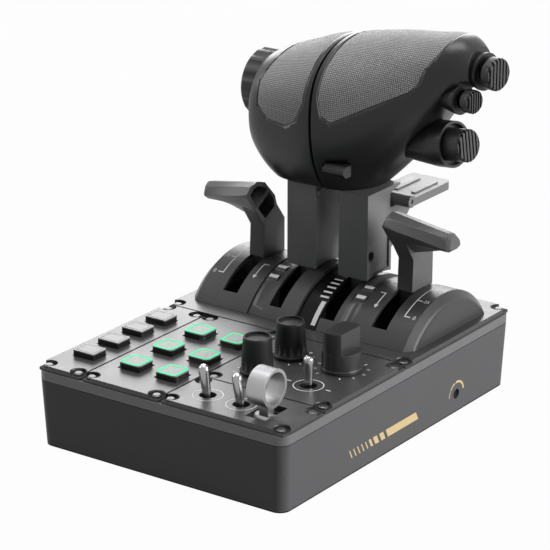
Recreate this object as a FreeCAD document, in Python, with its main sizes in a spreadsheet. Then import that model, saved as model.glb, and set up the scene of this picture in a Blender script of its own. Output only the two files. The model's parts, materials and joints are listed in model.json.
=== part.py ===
import FreeCAD, Part
import math
import os

import Sketcher

# Throttle quadrant for a flight simulator: a box-shaped base with button, toggle and knob
# panels, an arched lever quadrant with two throttle grips and two auxiliary levers.
# World frame: +X to the right, +Y to the back, +Z up, origin at the centre of the underside.

SIZES = {
    # base and panels
    "base_width": 190.0, "base_length": 262.0, "housing_height": 44.6, "housing_inset": 1.8,
    "corner_radius": 7.5, "housing_wall": 3.2, "housing_floor": 3.0, "rim_height": 6.1,
    "frame_ledge": 3.5, "corner_pad": 9.0, "panel_margin": 1.0, "panel_thickness": 3.7, "seam_width": 1.2,
    "seam_left": -60.0, "seam_middle": 1.5, "seam_row": 44.4, "seam_back": 134.0,
    "panel_corner": 1.6, "fit_gap": 0.3, "running_gap": 0.05,
    # panel screws
    "screw_inset": 4.8, "notch_radius": 5.5, "notch_depth": 2.3, "screw_head": 2.9,
    "screw_head_height": 1.7, "screw_shank": 1.4, "screw_length": 6.5,
    # feet and mounting holes
    "foot_radius": 8.0, "foot_recess": 1.2, "foot_height": 1.5, "foot_side": 78.0, "foot_end": 19.0,
    "mount_side": 60.0, "mount_front": 90.0, "mount_hole": 2.5, "mount_depth": 10.0, "mount_boss": 6.0,
    "mount_boss_height": 13.0,
    # buttons
    "button_height": 4.0, "button_travel": 2.0, "button_flange": 1.0, "button_flange_height": 1.5,
    "square_button": 16.4, "square_corner": 3.2, "black_button_width": 16.6, "black_button_length": 13.6,
    "black_corner": 1.2, "black_column": -77.3, "black_first": 31.5, "black_pitch": 24.7,
    "green_left_column": -41.3, "green_right_column": -12.8, "green_first": 33.3, "green_pitch": 33.4,
    # toggle switches
    "toggle_left": 23.4, "toggle_middle": 48.6, "toggle_row": 21.4, "toggle_upper": 64.6,
    "toggle_upper_row": 69.6, "toggle_hole": 5.4, "bat_tip": 3.4, "bat_root": 2.5, "bat_height": 19.8,
    "toggle_pivot_depth": 2.0, "toggle_ball": 4.0, "switch_case": 13.0, "switch_case_height": 15.0,
    "toggle_rest_lean": 7.5,
    # ring lever
    "ring_across": 68.0, "ring_row": 20.5, "ring_centre": 70.8, "ring_outer": 12.3, "ring_inner": 10.2,
    "ring_width": 12.6, "ring_stem": 3.2, "ring_slot_width": 14.6, "ring_slot_length": 24.0,
    "ring_hub": 5.0, "ring_case_wall": 3.0,
    # rotary knobs and selector
    "knob_left": 26.5, "knob_left_row": 68.8, "knob_right": 27.8, "knob_right_row": 103.1,
    "knob_skirt": 11.2, "knob_skirt_height": 2.0, "knob_radius": 10.3, "knob_top_radius": 9.0,
    "knob_height": 24.0, "knob_lip": 1.1, "knob_dish": 1.6, "flute_depth": 0.6, "flute_radius": 2.0,
    "flute_count": 14, "stalk_radius": 3.0, "stalk_hole": 4.0,
    "selector_across": 66.1, "selector_row": 103.8, "selector_radius": 12.6, "selector_skirt": 13.1,
    "selector_bar": 13.3, "selector_height": 27.0,
    # lever quadrant
    "pivot_row": 67.0, "pivot_height": 20.0, "arch_radius": 60.0, "arch_wall": 2.4, "arch_half": 82.0,
    "cap_depth": 6.0, "cap_radius": 54.0, "cover_seam": 39.6, "cover_gap": 0.5, "shaft_radius": 4.0,
    "outer_slot_centre": 58.9, "outer_slot_width": 11.8, "slot_half_angle": 43.5,
    "inner_slot_from": 14.9, "inner_slot_to": 25.5, "inner_slot_half_angle": 46.0,
    "lane_from": 29.5, "lane_depth": 0.8, "lane_bar_proud": 0.3, "lane_bar_width": 8.3,
    "lane_bar_low": -25.0, "lane_bar_high": -15.0, "lane_bar_half": 2.4,
    "rib_from": -14.6, "rib_to": -2.1, "rib_radius": 62.4, "strip_to": 14.6, "bracket_thickness": 5.0,
    "bracket_height": 13.0, "bracket_half": 14.0, "outer_bracket": 76.0, "inner_bracket": 44.0,
    "lever_sweep": 30.0,
    # auxiliary levers
    "aux_stalk_width": 11.4, "aux_neck_width": 10.8, "aux_stalk_front": 55.5, "aux_stalk_back": 80.5,
    "aux_knee": 101.6, "lever_gap": 0.8, "hub_radius": 11.0, "neck_half": 8.0, "aux_tip": 97.0,
    "cavity_depth": 9.0, "aux_chamfer": 2.0,
    # throttle arms
    "arm_from": 9.1, "arm_to": 31.7, "arm_front": 53.0, "arm_back": 81.4, "arm_top": 9.7,
    "arm_knee_row": 103.9, "arm_knee": 11.5, "arm_waist": 97.1, "arm_notch": 4.8,
    "arm_notch_top": 5.0, "arm_notch_row": 79.5, "arm_crest_row": 91.0, "arm_cheek": 4.5,
    "arm_recess_low": 84.5, "arm_recess_high": 106.0, "arm_recess_depth": 1.5, "arm_hole": 3.6,
    "arm_hole_row": 59.3, "arm_hole_height": 96.2, "stud_radius": 3.2, "stud_length": 1.6,
    "stud_row": 56.8, "stud_rise": 3.5,
    # finger lifts
    "lift_pin": 1.5, "lift_barrel": 4.1, "lift_row": 85.0, "lift_height": 130.0, "lift_to": 45.0,
    "lift_back": 134.0, "lift_thickness": 5.4, "lift_rise": 2.0, "lift_corner": 5.0, "lift_rib": 1.6,
    "lift_rib_height": 0.8, "lift_rib_from": 96.0, "lift_rib_to": 124.0, "lift_lug": 2.2, "lift_lug_inset": 9.0, "lift_lug_length": 5.0,
    # grips
    "grip_gap": 1.0, "grip_seat": 0.3, "grip_exponent": 2.3, "rubber_depth": 1.6, "rubber_seam": 0.4,
    # dial wheel
    "dial_radius": 23.0, "dial_width": 13.5, "dial_row": 76.0, "dial_height": 55.0, "dial_axle": 4.0,
    "dial_axle_length": 8.0, "dial_start": -57.3, "dimple_radius": 5.5, "dimple_depth": 1.2,
    "dimple_count": 16, "dial_hub": 14.0,
    # hats and the brake switch
    "hat_turn": 10.0, "hat_room": 24.0, "hat_radius": 10.5, "hat_bore": 7.5, "hat_ring": 12.2, "hat_clear": 2.6,
    "hat_cap": 8.6, "hat_pivot": 5.0, "gimbal_ball": 3.4, "gimbal_stem": 2.0, "gimbal_foot": 3.4,
    "gimbal_foot_height": 1.6, "socket_depth": 9.0, "room_margin": 1.6,
    "top_hat_across": 102.3, "top_hat_row": 78.0, "top_hat_rise": 17.2, "top_socket_length": 18.0,
    "low_hat_across": 91.6, "low_hat_row": 68.0, "low_hat_height": 71.4, "low_hat_radius": 7.6,
    "low_socket_length": 24.0, "low_hat_ring": 10.2, "low_hat_bore": 6.0,
    "pod_across": 85.2, "pod_row": 70.0, "pod_drop": 31.3, "pod_radius": 15.0, "pod_root": 11.0,
    "pod_length": 44.0, "pod_recess": 5.0, "pod_rise": 8.0,
    "brake_radius": 10.6, "brake_proud": 13.0, "brake_travel": 2.5, "brake_shank": 3.0,
    "rib_count": 7, "rib_groove": 1.2, "rib_groove_depth": 2.2,
    # thumb paddle
    "paddle_from": 9.0, "paddle_to": 25.0, "paddle_low": 14.6, "paddle_high": 22.2,
    "paddle_front": 33.8, "paddle_back": 43.0, "paddle_gap": 0.6,
    # friction screw, board and connector
    "friction_row": 66.0, "friction_height": 13.0, "friction_head": 3.4, "friction_shank": 1.6,
    "friction_recess": 3.0, "friction_head_length": 5.0, "board_width": 120.0, "board_length": 60.0, "board_row": 81.0,
    "board_height": 9.0, "board_thickness": 1.6, "standoff_radius": 3.0, "socket_width": 9.0,
    "socket_height": 3.4, "socket_body": 7.0, "socket_across": -40.0,
}

# Grip stations along X: place, front, back, top, bottom, row of the crown and height of the waist.
# All heights are above the floor of the grips.
STATION_FIELDS = ("across", "front", "back", "top", "bottom", "crown", "waist")
STATIONS = {
    "left_gap": (-1.0, 32.0, 112.0, 96.6, -12.0, 84.0, 52.0),
    "left_neck": (-20.0, 33.5, 113.0, 92.5, -12.0, 84.0, 50.0),
    "left_flank": (-38.0, 37.0, 114.0, 86.0, -10.0, 82.0, 47.0),
    "left_shoulder": (-50.0, 40.5, 115.0, 81.6, -1.0, 80.5, 44.0),
    "left_end": (-57.0, 44.5, 115.5, 77.5, 7.5, 80.0, 43.0),
    "right_gap": (1.0, 32.0, 112.0, 97.4, -12.0, 84.0, 52.0),
    "right_neck": (18.0, 36.0, 113.0, 101.2, -6.0, 84.0, 54.0),
    "right_flank": (36.0, 41.5, 113.0, 104.2, 10.0, 83.0, 58.0),
    "right_thumb": (54.0, 47.0, 112.0, 106.2, 29.0, 82.0, 66.0),
    "right_shoulder": (70.0, 53.0, 109.0, 108.0, 50.0, 81.0, 79.0),
    "right_crown": (85.0, 58.0, 102.0, 108.8, 71.0, 80.0, 90.0),
    "right_tip": (97.0, 64.5, 92.5, 103.5, 77.5, 78.5, 90.5),
}
LEFT_STATIONS = ("left_gap", "left_neck", "left_flank", "left_shoulder", "left_end")
RIGHT_STATIONS = ("right_gap", "right_neck", "right_flank", "right_thumb", "right_shoulder",
                  "right_crown", "right_tip")

# Outlines of the rubber grip panels, seen from the front: across and height above the floor.
LEFT_RUBBER = ((-5.0, 103.0), (-5.0, 82.0), (-6.5, 60.0), (-12.0, 48.0), (-20.0, 43.5),
               (-36.0, 44.5), (-46.0, 52.0), (-47.5, 66.0), (-38.0, 90.0), (-34.0, 103.0))
RIGHT_RUBBER = ((8.0, 112.0), (5.5, 84.0), (5.0, 65.0), (8.0, 54.5), (14.0, 50.5),
                (40.0, 64.0), (62.0, 75.0), (67.5, 80.0), (71.0, 90.0), (79.0, 101.0), (84.0, 112.0))

doc = FreeCAD.newDocument("ThrottleQuadrant")
sheet = doc.addObject("Spreadsheet::Sheet", "Sizes")


class Size:
    """A number that remembers the sheet expression it comes from."""

    def __init__(self, text, value):
        self.text = text
        self.value = value

    def join(self, sign, other, value):
        return Size(f"({self.text} {sign} {as_size(other).text})", value)

    def __add__(self, other):
        return self.join("+", other, self.value + as_size(other).value)

    def __radd__(self, other):
        return as_size(other) + self

    def __sub__(self, other):
        return self.join("-", other, self.value - as_size(other).value)

    def __rsub__(self, other):
        return as_size(other) - self

    def __mul__(self, other):
        return self.join("*", other, self.value * as_size(other).value)

    def __rmul__(self, other):
        return as_size(other) * self

    def __truediv__(self, other):
        return self.join("/", other, self.value / as_size(other).value)

    def __neg__(self):
        return Size(f"(0 - {self.text})", -self.value)


def as_size(number):
    """A plain number as a Size."""
    return number if isinstance(number, Size) else Size(f"({float(number):.6f})", float(number))


def sine(angle):
    angle = as_size(angle)
    return Size(f"sin({angle.text})", math.sin(math.radians(angle.value)))


def cosine(angle):
    angle = as_size(angle)
    return Size(f"cos({angle.text})", math.cos(math.radians(angle.value)))


def tangent(angle):
    return sine(angle) / cosine(angle)


def root(number):
    number = as_size(number)
    return Size(f"sqrt({number.text})", math.sqrt(number.value))


class Sheet:
    """The driving dimensions, read as attributes."""

    def __init__(self, sizes):
        for row, (name, value) in enumerate(sizes.items(), start=1):
            sheet.set(f"A{row}", name)
            sheet.set(f"B{row}", str(value))
            sheet.setAlias(f"B{row}", name)
            setattr(self, name, Size(f"Sizes.{name}", float(value)))


def all_sizes():
    """The sizes of the base with those of the grip stations."""
    sizes = dict(SIZES)
    for station, values in STATIONS.items():
        for field, value in zip(STATION_FIELDS, values):
            sizes[f"{station}_{field}"] = value
    return sizes


s = Sheet(all_sizes())
doc.recompute()


def bind(item, path, size):
    """Tie one property to an expression on the sheet."""
    item.setExpression(path, as_size(size).text)


def place(item, x, y, z, rotation=None):
    """Put an object at a bound position with a fixed rotation."""
    if rotation is not None:
        item.Placement = FreeCAD.Placement(FreeCAD.Vector(), rotation)
    for letter, size in zip("xyz", (x, y, z)):
        bind(item, f"Placement.Base.{letter}", size)
    return item


TO_X = FreeCAD.Rotation(FreeCAD.Vector(0, 1, 0), 90)
TO_MINUS_X = FreeCAD.Rotation(FreeCAD.Vector(0, 1, 0), -90)


# ------------------------------------------------------------------ Part primitives and booleans


def box(name, x, y, z):
    """A box between three pairs of limits."""
    item = doc.addObject("Part::Box", name)
    for path, (low, high) in zip(("Length", "Width", "Height"), (x, y, z)):
        bind(item, path, as_size(high) - low)
    return place(item, x[0], y[0], z[0])


def rod(name, radius, along, centre, axis="X"):
    """A cylinder along X or Z between two limits."""
    item = doc.addObject("Part::Cylinder", name)
    bind(item, "Radius", radius)
    bind(item, "Height", as_size(along[1]) - along[0])
    if axis == "X":
        return place(item, along[0], centre[0], centre[1], TO_X)
    return place(item, centre[0], centre[1], along[0])


def fuse(name, pieces):
    item = doc.addObject("Part::MultiFuse", name)
    item.Shapes = list(pieces)
    return item


def cut(name, base, tools):
    """The base less one or more tools."""
    item = doc.addObject("Part::Cut", name)
    item.Base = base
    item.Tool = tools[0] if len(tools) == 1 else fuse(f"{name}_cutters", tools)
    return item


def common(name, first, second):
    item = doc.addObject("Part::MultiCommon", name)
    item.Shapes = [first, second]
    return item


def group(name, pieces):
    item = doc.addObject("Part::Compound", name)
    item.Links = list(pieces)
    return item


def mirrored(name, source):
    """The same piece on the other side of the middle plane."""
    item = doc.addObject("Part::Mirroring", name)
    item.Source = source
    item.Normal = FreeCAD.Vector(1, 0, 0)
    item.Base = FreeCAD.Vector(0, 0, 0)
    return item


# ------------------------------------------------------------------ sketched bodies


def new_sketch(body, role, offset, name):
    sketch = body.newObject("Sketcher::SketchObject", name)
    plane = next(item for item in body.Origin.OriginFeatures if item.Role == role)
    sketch.AttachmentSupport = (plane, [""])
    sketch.MapMode = "FlatFace"
    bind(sketch, "AttachmentOffset.Base.z", offset)
    return sketch


def hold_point(sketch, geometry, position, x, y):
    """Fix a point of the sketch by two bound distances from the origin."""
    for kind, size in (("DistanceX", as_size(x)), ("DistanceY", as_size(y))):
        index = sketch.addConstraint(Sketcher.Constraint(kind, -1, 1, geometry, position, size.value))
        sketch.setExpression(f"Constraints[{index}]", size.text)


def draw_polygon(sketch, points):
    """A closed outline of straight lines through bound points."""
    points = [(as_size(x), as_size(y)) for x, y in points]
    corners = [FreeCAD.Vector(x.value, y.value, 0) for x, y in points]
    first = sketch.GeometryCount
    count = len(points)
    for index in range(count):
        sketch.addGeometry(Part.LineSegment(corners[index], corners[(index + 1) % count]), False)
    for index in range(count):
        following = first + (index + 1) % count
        sketch.addConstraint(Sketcher.Constraint("Coincident", first + index, 2, following, 1))
    for index, (x, y) in enumerate(points):
        hold_point(sketch, first + index, 1, x, y)


def draw_circle(sketch, x, y, radius):
    x, y, radius = as_size(x), as_size(y), as_size(radius)
    centre = FreeCAD.Vector(x.value, y.value, 0)
    circle = sketch.addGeometry(Part.Circle(centre, FreeCAD.Vector(0, 0, 1), radius.value), False)
    hold_point(sketch, circle, 3, x, y)
    index = sketch.addConstraint(Sketcher.Constraint("Radius", circle, radius.value))
    sketch.setExpression(f"Constraints[{index}]", radius.text)


def draw_rectangle(sketch, x, y):
    draw_polygon(sketch, [(x[0], y[0]), (x[1], y[0]), (x[1], y[1]), (x[0], y[1])])


def new_body(name):
    return doc.addObject("PartDesign::Body", name)


def pad(body, sketch, length, taper=None, reverse=False):
    item = body.newObject("PartDesign::Pad", f"{body.Name}_pad")
    item.Profile = sketch
    bind(item, "Length", length)
    item.Reversed = reverse
    if taper is not None:
        bind(item, "TaperAngle", taper)
    body.Tip = item
    return item


def pocket(body, sketch, depth):
    """Cut a sketch downwards, against its plane's own direction."""
    item = body.newObject("PartDesign::Pocket", f"{body.Name}_pocket")
    item.Profile = sketch
    bind(item, "Length", depth)
    body.Tip = item
    return item


def prism(name, role, start, points, length):
    """A straight-sided outline padded from a plane."""
    body = new_body(name)
    sketch = new_sketch(body, role, start, f"{name}_outline")
    draw_polygon(sketch, points)
    pad(body, sketch, length)
    return body


def turned(name, stations, x=0, y=0, z=0, rotation=None):
    """A turned piece: (radius, height) stations round its own axis."""
    body = new_body(name)
    sketch = new_sketch(body, "XZ_Plane", 0, f"{name}_outline")
    draw_polygon(sketch, stations)
    item = body.newObject("PartDesign::Revolution", f"{name}_turn")
    item.Profile = sketch
    item.ReferenceAxis = (sketch, ["V_Axis"])
    item.Angle = 360
    body.Tip = item
    place(body, x, y, z, rotation)
    return body


def round_upright(body, radius, chosen=None):
    """Fillet the edges that stand upright on the last feature of a body."""
    doc.recompute()
    feature = body.Tip
    names = []
    for number, edge in enumerate(feature.Shape.Edges, start=1):
        ends = [vertex.Point for vertex in edge.Vertexes]
        if len(ends) != 2:
            continue
        run = ends[1] - ends[0]
        if abs(run.z) > 0.9 * run.Length and (chosen is None or chosen((ends[0] + ends[1]) / 2)):
            names.append(f"Edge{number}")
    item = body.newObject("PartDesign::Fillet", f"{body.Name}_round")
    item.Base = (feature, names)
    bind(item, "Radius", radius)
    body.Tip = item
    return item


nodes = {}


def node(label, item):
    """Name a finished sub-part."""
    item.Label = label
    nodes[label] = item
    return item


# ------------------------------------------------------------------ levels and limits shared by the pieces

half_width = s.base_width / 2
half_length = s.base_length / 2
frame_top = s.housing_height + s.rim_height
panel_top = frame_top + s.panel_thickness
plate_edge = half_width - s.panel_margin
plate_end = half_length - s.panel_margin
half_seam = s.seam_width / 2
# The rows of the controls are laid out from the front edge.
front = -half_length
seam_row = front + s.seam_row
seam_back = front + s.seam_back
toggle_row = front + s.toggle_row
toggle_upper_row = front + s.toggle_upper_row
ring_row = front + s.ring_row
knob_left_row = front + s.knob_left_row
knob_right_row = front + s.knob_right_row
selector_row = front + s.selector_row
board_row = front + s.board_row
foot_front = half_length - s.foot_end
# The heights of the throttle arms and grips follow the pin of the finger lifts.
arm_top = s.lift_height + s.arm_top
arm_knee = s.lift_height - s.arm_knee
arm_notch = s.lift_height - s.arm_notch
arm_notch_top = s.lift_height + s.arm_notch_top
lift_top = s.lift_height + s.lift_rise
grip_floor = arm_top + s.grip_seat
low_hat_height = grip_floor + s.low_hat_height
top_hat_height = low_hat_height + s.top_hat_rise
pod_height = low_hat_height - s.pod_drop
paddle_low = grip_floor + s.paddle_low
paddle_high = grip_floor + s.paddle_high
dial_height = grip_floor + s.dial_height
PIVOT = (s.pivot_row, s.pivot_height)
PANELS = {
    "left_button_panel": ((-plate_edge, s.seam_left - half_seam), (-plate_end, seam_back - half_seam)),
    "centre_button_panel": ((s.seam_left + half_seam, s.seam_middle - half_seam),
                            (-plate_end, seam_back - half_seam)),
    "toggle_panel": ((s.seam_middle + half_seam, plate_edge), (-plate_end, seam_row - half_seam)),
    "knob_panel": ((s.seam_middle + half_seam, plate_edge),
                   (seam_row + half_seam, seam_back - half_seam)),
    "quadrant_plate": ((-plate_edge, plate_edge), (seam_back + half_seam, plate_end)),
}
BLACK_ROWS = [front + s.black_first + s.black_pitch * step for step in range(4)]
GREEN_ROWS = [front + s.green_first + s.green_pitch * step for step in range(3)]
TOGGLES = ((s.toggle_left, toggle_row), (s.toggle_middle, toggle_row),
           (s.toggle_upper, toggle_upper_row))
KNOBS = ((s.knob_left, knob_left_row), (s.knob_right, knob_right_row))
RING_SLOT = ((s.ring_across - s.ring_slot_width / 2, s.ring_across + s.ring_slot_width / 2),
             (ring_row - s.ring_slot_length / 2, ring_row + s.ring_slot_length / 2))
chord = root(s.arch_radius * s.arch_radius
             - (panel_top - s.pivot_height) * (panel_top - s.pivot_height))
inner_chord = root((s.arch_radius - s.arch_wall) * (s.arch_radius - s.arch_wall)
                   - (panel_top - s.pivot_height) * (panel_top - s.pivot_height))


def corners_of(limits):
    """The screw positions of a panel, with the outward signs of each corner."""
    (x_low, x_high), (y_low, y_high) = limits
    return [(x_low + s.screw_inset, y_low + s.screw_inset, -1, -1),
            (x_high - s.screw_inset, y_low + s.screw_inset, 1, -1),
            (x_high - s.screw_inset, y_high - s.screw_inset, 1, 1),
            (x_low + s.screw_inset, y_high - s.screw_inset, -1, 1)]


# ------------------------------------------------------------------ base


def lower_housing():
    """Moulded tray with drafted walls, mounting bosses, foot recesses and side openings."""
    body = new_body("housing_shell")
    outline = new_sketch(body, "XY_Plane", 0, "housing_outline")
    draw_rectangle(outline, (s.housing_inset - half_width, half_width - s.housing_inset),
                   (s.housing_inset - half_length, half_length - s.housing_inset))
    draft = Size(f"atan({(s.housing_inset / s.housing_height).text})",
                 math.degrees(math.atan2(s.housing_inset.value, s.housing_height.value)))
    pad(body, outline, s.housing_height, taper=draft)
    round_upright(body, s.corner_radius)
    inner_x = half_width - s.housing_inset - s.housing_wall
    inner_y = half_length - s.housing_inset - s.housing_wall
    cavity = box("housing_cavity", (-inner_x, inner_x), (-inner_y, inner_y),
                 (s.housing_floor, s.housing_height + 1))
    shell = cut("housing_tray", body, [cavity])
    bosses = []
    cutters = []
    for x in (-s.mount_side, s.mount_side):
        for y in (-s.mount_front, s.mount_front):
            bosses.append(rod("mount_boss", s.mount_boss, (0, s.mount_boss_height), (x, y), "Z"))
            cutters.append(rod("mount_bore", s.mount_hole, (-1, s.mount_depth), (x, y), "Z"))
    for x in (-s.foot_side, s.foot_side):
        for y in (-foot_front, foot_front):
            cutters.append(rod("foot_seat", s.foot_radius, (-1, s.foot_recess), (x, y), "Z"))
    cutters.append(rod("friction_hole", s.friction_head + s.running_gap, (inner_x - 1, half_width + 1),
                       (s.friction_row, s.friction_height)))
    socket_low = s.board_height + s.board_thickness
    cutters.append(box("socket_opening", (s.socket_across - s.socket_width / 2,
                                          s.socket_across + s.socket_width / 2),
                       (inner_y - 1, half_length + 1), (socket_low, socket_low + s.socket_height)))
    node("lower_housing", cut("lower_housing", fuse("housing_with_bosses", [shell] + bosses), cutters))


def deck_frame():
    """Flat rim and cross bars that carry the panels."""
    body = new_body("frame_blank")
    outline = new_sketch(body, "XY_Plane", s.housing_height, "frame_outline")
    draw_rectangle(outline, (-half_width, half_width), (-half_length, half_length))
    pad(body, outline, s.rim_height)
    round_upright(body, s.corner_radius)
    windows = []
    for name, (x, y) in PANELS.items():
        windows.append(box(f"{name}_window", (x[0] + s.frame_ledge, x[1] - s.frame_ledge),
                           (y[0] + s.frame_ledge, y[1] - s.frame_ledge),
                           (s.housing_height - 1, frame_top + 1)))
    pads = []
    pilots = []
    for limits in PANELS.values():
        for x, y, sign_x, sign_y in corners_of(limits):
            corner_x = x + sign_x * s.screw_inset
            corner_y = y + sign_y * s.screw_inset
            far_x = (corner_x - s.corner_pad, corner_x) if sign_x > 0 else (corner_x, corner_x + s.corner_pad)
            far_y = (corner_y - s.corner_pad, corner_y) if sign_y > 0 else (corner_y, corner_y + s.corner_pad)
            pads.append(box("corner_pad", far_x, far_y, (s.housing_height, frame_top)))
            pilots.append(rod("screw_pilot", s.screw_shank, (s.housing_height - 1, frame_top + 1),
                              (x, y), "Z"))
    grid = cut("frame_grid", body, windows)
    pads = common("frame_pads", fuse("pads", pads), body)
    node("deck_frame", cut("deck_frame", fuse("frame_with_pads", [grid, pads]), pilots))


def panel(label, openings):
    """A flat panel with screw notches open to its corners."""
    x, y = PANELS[label]
    body = new_body(f"{label}_blank")
    outline = new_sketch(body, "XY_Plane", frame_top, f"{label}_outline")
    draw_rectangle(outline, x, y)
    pad(body, outline, s.panel_thickness)
    round_upright(body, s.panel_corner)
    cutters = list(openings)
    notch = (panel_top - s.notch_depth, panel_top + 1)
    for centre_x, centre_y, sign_x, sign_y in corners_of((x, y)):
        cutters.append(rod(f"{label}_notch", s.notch_radius, notch, (centre_x, centre_y), "Z"))
        reach = s.screw_inset + 1
        far_x = (centre_x, centre_x + reach) if sign_x > 0 else (centre_x - reach, centre_x)
        far_y = (centre_y, centre_y + reach) if sign_y > 0 else (centre_y - reach, centre_y)
        cutters.append(box(f"{label}_corner", far_x, far_y, notch))
        cutters.append(rod(f"{label}_screw_hole", s.screw_shank, (frame_top - 1, panel_top + 1),
                           (centre_x, centre_y), "Z"))
    node(label, cut(label, body, cutters))


def opening(x, y, across, along):
    """A rectangular way through a panel."""
    return box("panel_opening", (x - across / 2, x + across / 2), (y - along / 2, y + along / 2),
               (frame_top - 1, panel_top + 1))


def round_opening(x, y, radius):
    return rod("panel_hole", radius, (frame_top - 1, panel_top + 1), (x, y), "Z")


def panels():
    """The four control panels and the plate round the lever quadrant."""
    clear = s.fit_gap * 2
    panel("left_button_panel", [opening(s.black_column, y, s.black_button_width + clear,
                                        s.black_button_length + clear) for y in BLACK_ROWS])
    square = s.square_button + clear
    panel("centre_button_panel", [opening(x, y, square, square) for y in GREEN_ROWS
                                  for x in (s.green_left_column, s.green_right_column)])
    panel("toggle_panel", [round_opening(x, y, s.toggle_hole) for x, y in TOGGLES[:2]]
          + [box("ring_opening", RING_SLOT[0], RING_SLOT[1], (frame_top - 1, panel_top + 1))])
    panel("knob_panel", [round_opening(*TOGGLES[2], s.toggle_hole)]
          + [round_opening(x, y, s.stalk_hole) for x, y in KNOBS]
          + [round_opening(s.selector_across, selector_row, s.stalk_hole)])
    panel("quadrant_plate", [box("lever_opening", (-s.arch_half, s.arch_half),
                                 (s.pivot_row - inner_chord, s.pivot_row + inner_chord),
                                 (frame_top - 1, panel_top + 1))])


def panel_screws():
    """Pan-head screws that hold the panels to the frame."""
    seat = panel_top - s.notch_depth
    screws = []
    for limits in PANELS.values():
        for x, y, _, _ in corners_of(limits):
            screws.append(turned("screw", [
                (0, -s.screw_length), (s.screw_shank, -s.screw_length), (s.screw_shank, 0),
                (s.screw_head, 0), (s.screw_head, s.screw_head_height * 0.6),
                (s.screw_head * 0.7, s.screw_head_height), (0, s.screw_head_height)], x, y, seat))
    node("panel_screws", group("panel_screws", screws))


def rubber_feet():
    feet = [rod("foot", s.foot_radius, (-s.foot_height, s.foot_recess), (x, y), "Z")
            for x in (-s.foot_side, s.foot_side) for y in (-foot_front, foot_front)]
    node("rubber_feet", group("rubber_feet", feet))


def circuit_board():
    """Board on four standoffs; the bus connector stands at the rear wall on its own riser."""
    top = s.board_height + s.board_thickness
    x = (-s.board_width / 2, s.board_width / 2)
    y = (board_row - s.board_length / 2, board_row + s.board_length / 2)
    board = box("board_plate", x, y, (s.board_height, top))
    inset = s.standoff_radius * 2
    legs = [rod("standoff", s.standoff_radius, (s.housing_floor, s.board_height), (leg_x, leg_y), "Z")
            for leg_x in (x[0] + inset, x[1] - inset) for leg_y in (y[0] + inset, y[1] - inset)]
    rear = half_length - s.housing_inset - s.housing_wall
    socket_x = (s.socket_across - s.socket_width / 2, s.socket_across + s.socket_width / 2)
    riser = box("connector_riser", socket_x, (rear - s.socket_body, rear), (s.housing_floor, top))
    shell = box("connector", socket_x, (rear - s.socket_body, rear + s.housing_wall),
                (top, top + s.socket_height))
    wall = s.socket_height / 5
    mouth = box("connector_mouth", (socket_x[0] + wall, socket_x[1] - wall), (rear, half_length + 1),
                (top + wall, top + s.socket_height - wall))
    node("circuit_board", group("circuit_board", [
        fuse("board_on_legs", [board] + legs), cut("connector_on_riser", fuse("riser", [riser, shell]),
                                                   [mouth])]))


def switch_bodies():
    """Toggle cases and rotary encoder cases, hung under the panels."""
    cases = []
    half = s.switch_case / 2
    for x, y in TOGGLES:
        case = box("toggle_case", (x - half, x + half), (y - half, y + half),
                   (frame_top - s.switch_case_height, frame_top))
        cases.append(cut("toggle_body", case, [
            rod("toggle_well", s.toggle_ball + s.fit_gap,
                (frame_top - s.toggle_pivot_depth - s.toggle_ball - s.fit_gap, frame_top + 1),
                (x, y), "Z")]))
    for x, y in KNOBS + ((s.selector_across, selector_row),):
        case = box("encoder_case", (x - half, x + half), (y - half, y + half),
                   (frame_top - s.switch_case_height, frame_top))
        bore = rod("encoder_bore", s.stalk_radius + s.running_gap,
                   (frame_top - s.switch_case_height / 2, frame_top + 1), (x, y), "Z")
        cases.append(cut("encoder_body", case, [bore]))
    pivot = frame_top - s.toggle_pivot_depth
    inner = s.ring_slot_width / 2
    outer = inner + s.ring_case_wall
    reach = s.ring_slot_length / 2
    case = box("ring_case", (s.ring_across - outer, s.ring_across + outer),
               (ring_row - reach, ring_row + reach), (frame_top - s.switch_case_height, frame_top))
    trough = box("ring_trough", (s.ring_across - inner, s.ring_across + inner),
                 (ring_row - reach + s.ring_case_wall, ring_row + reach - s.ring_case_wall),
                 (pivot, frame_top + 1))
    seat = rod("ring_seat", s.ring_hub + s.fit_gap, (s.ring_across - inner, s.ring_across + inner),
               (ring_row, pivot))
    cases.append(cut("ring_body", case, [trough, seat]))
    node("switch_bodies", group("switch_bodies", cases))


# ------------------------------------------------------------------ controls on the panels


def button(label, x, y, across, along, corner):
    """A push button: rounded cap on a flange that is trapped under its panel."""
    body = new_body(f"{label}_cap")
    outline = new_sketch(body, "XY_Plane", frame_top - s.fit_gap, f"{label}_outline")
    draw_rectangle(outline, (x - across / 2, x + across / 2), (y - along / 2, y + along / 2))
    pad(body, outline, s.panel_thickness + s.fit_gap + s.button_height)
    round_upright(body, corner)
    reach_x = across / 2 + s.button_flange
    reach_y = along / 2 + s.button_flange
    flange = box(f"{label}_flange", (x - reach_x, x + reach_x), (y - reach_y, y + reach_y),
                 (frame_top - s.fit_gap - s.button_flange_height, frame_top - s.fit_gap))
    node(label, fuse(label, [body, flange]))


def buttons():
    for number, y in enumerate(BLACK_ROWS, start=1):
        button(f"black_button_{number}", s.black_column, y, s.black_button_width,
               s.black_button_length, s.black_corner)
    number = 1
    for y in GREEN_ROWS:
        for x in (s.green_left_column, s.green_right_column):
            button(f"green_button_{number}", x, y, s.square_button, s.square_button, s.square_corner)
            number += 1


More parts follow.
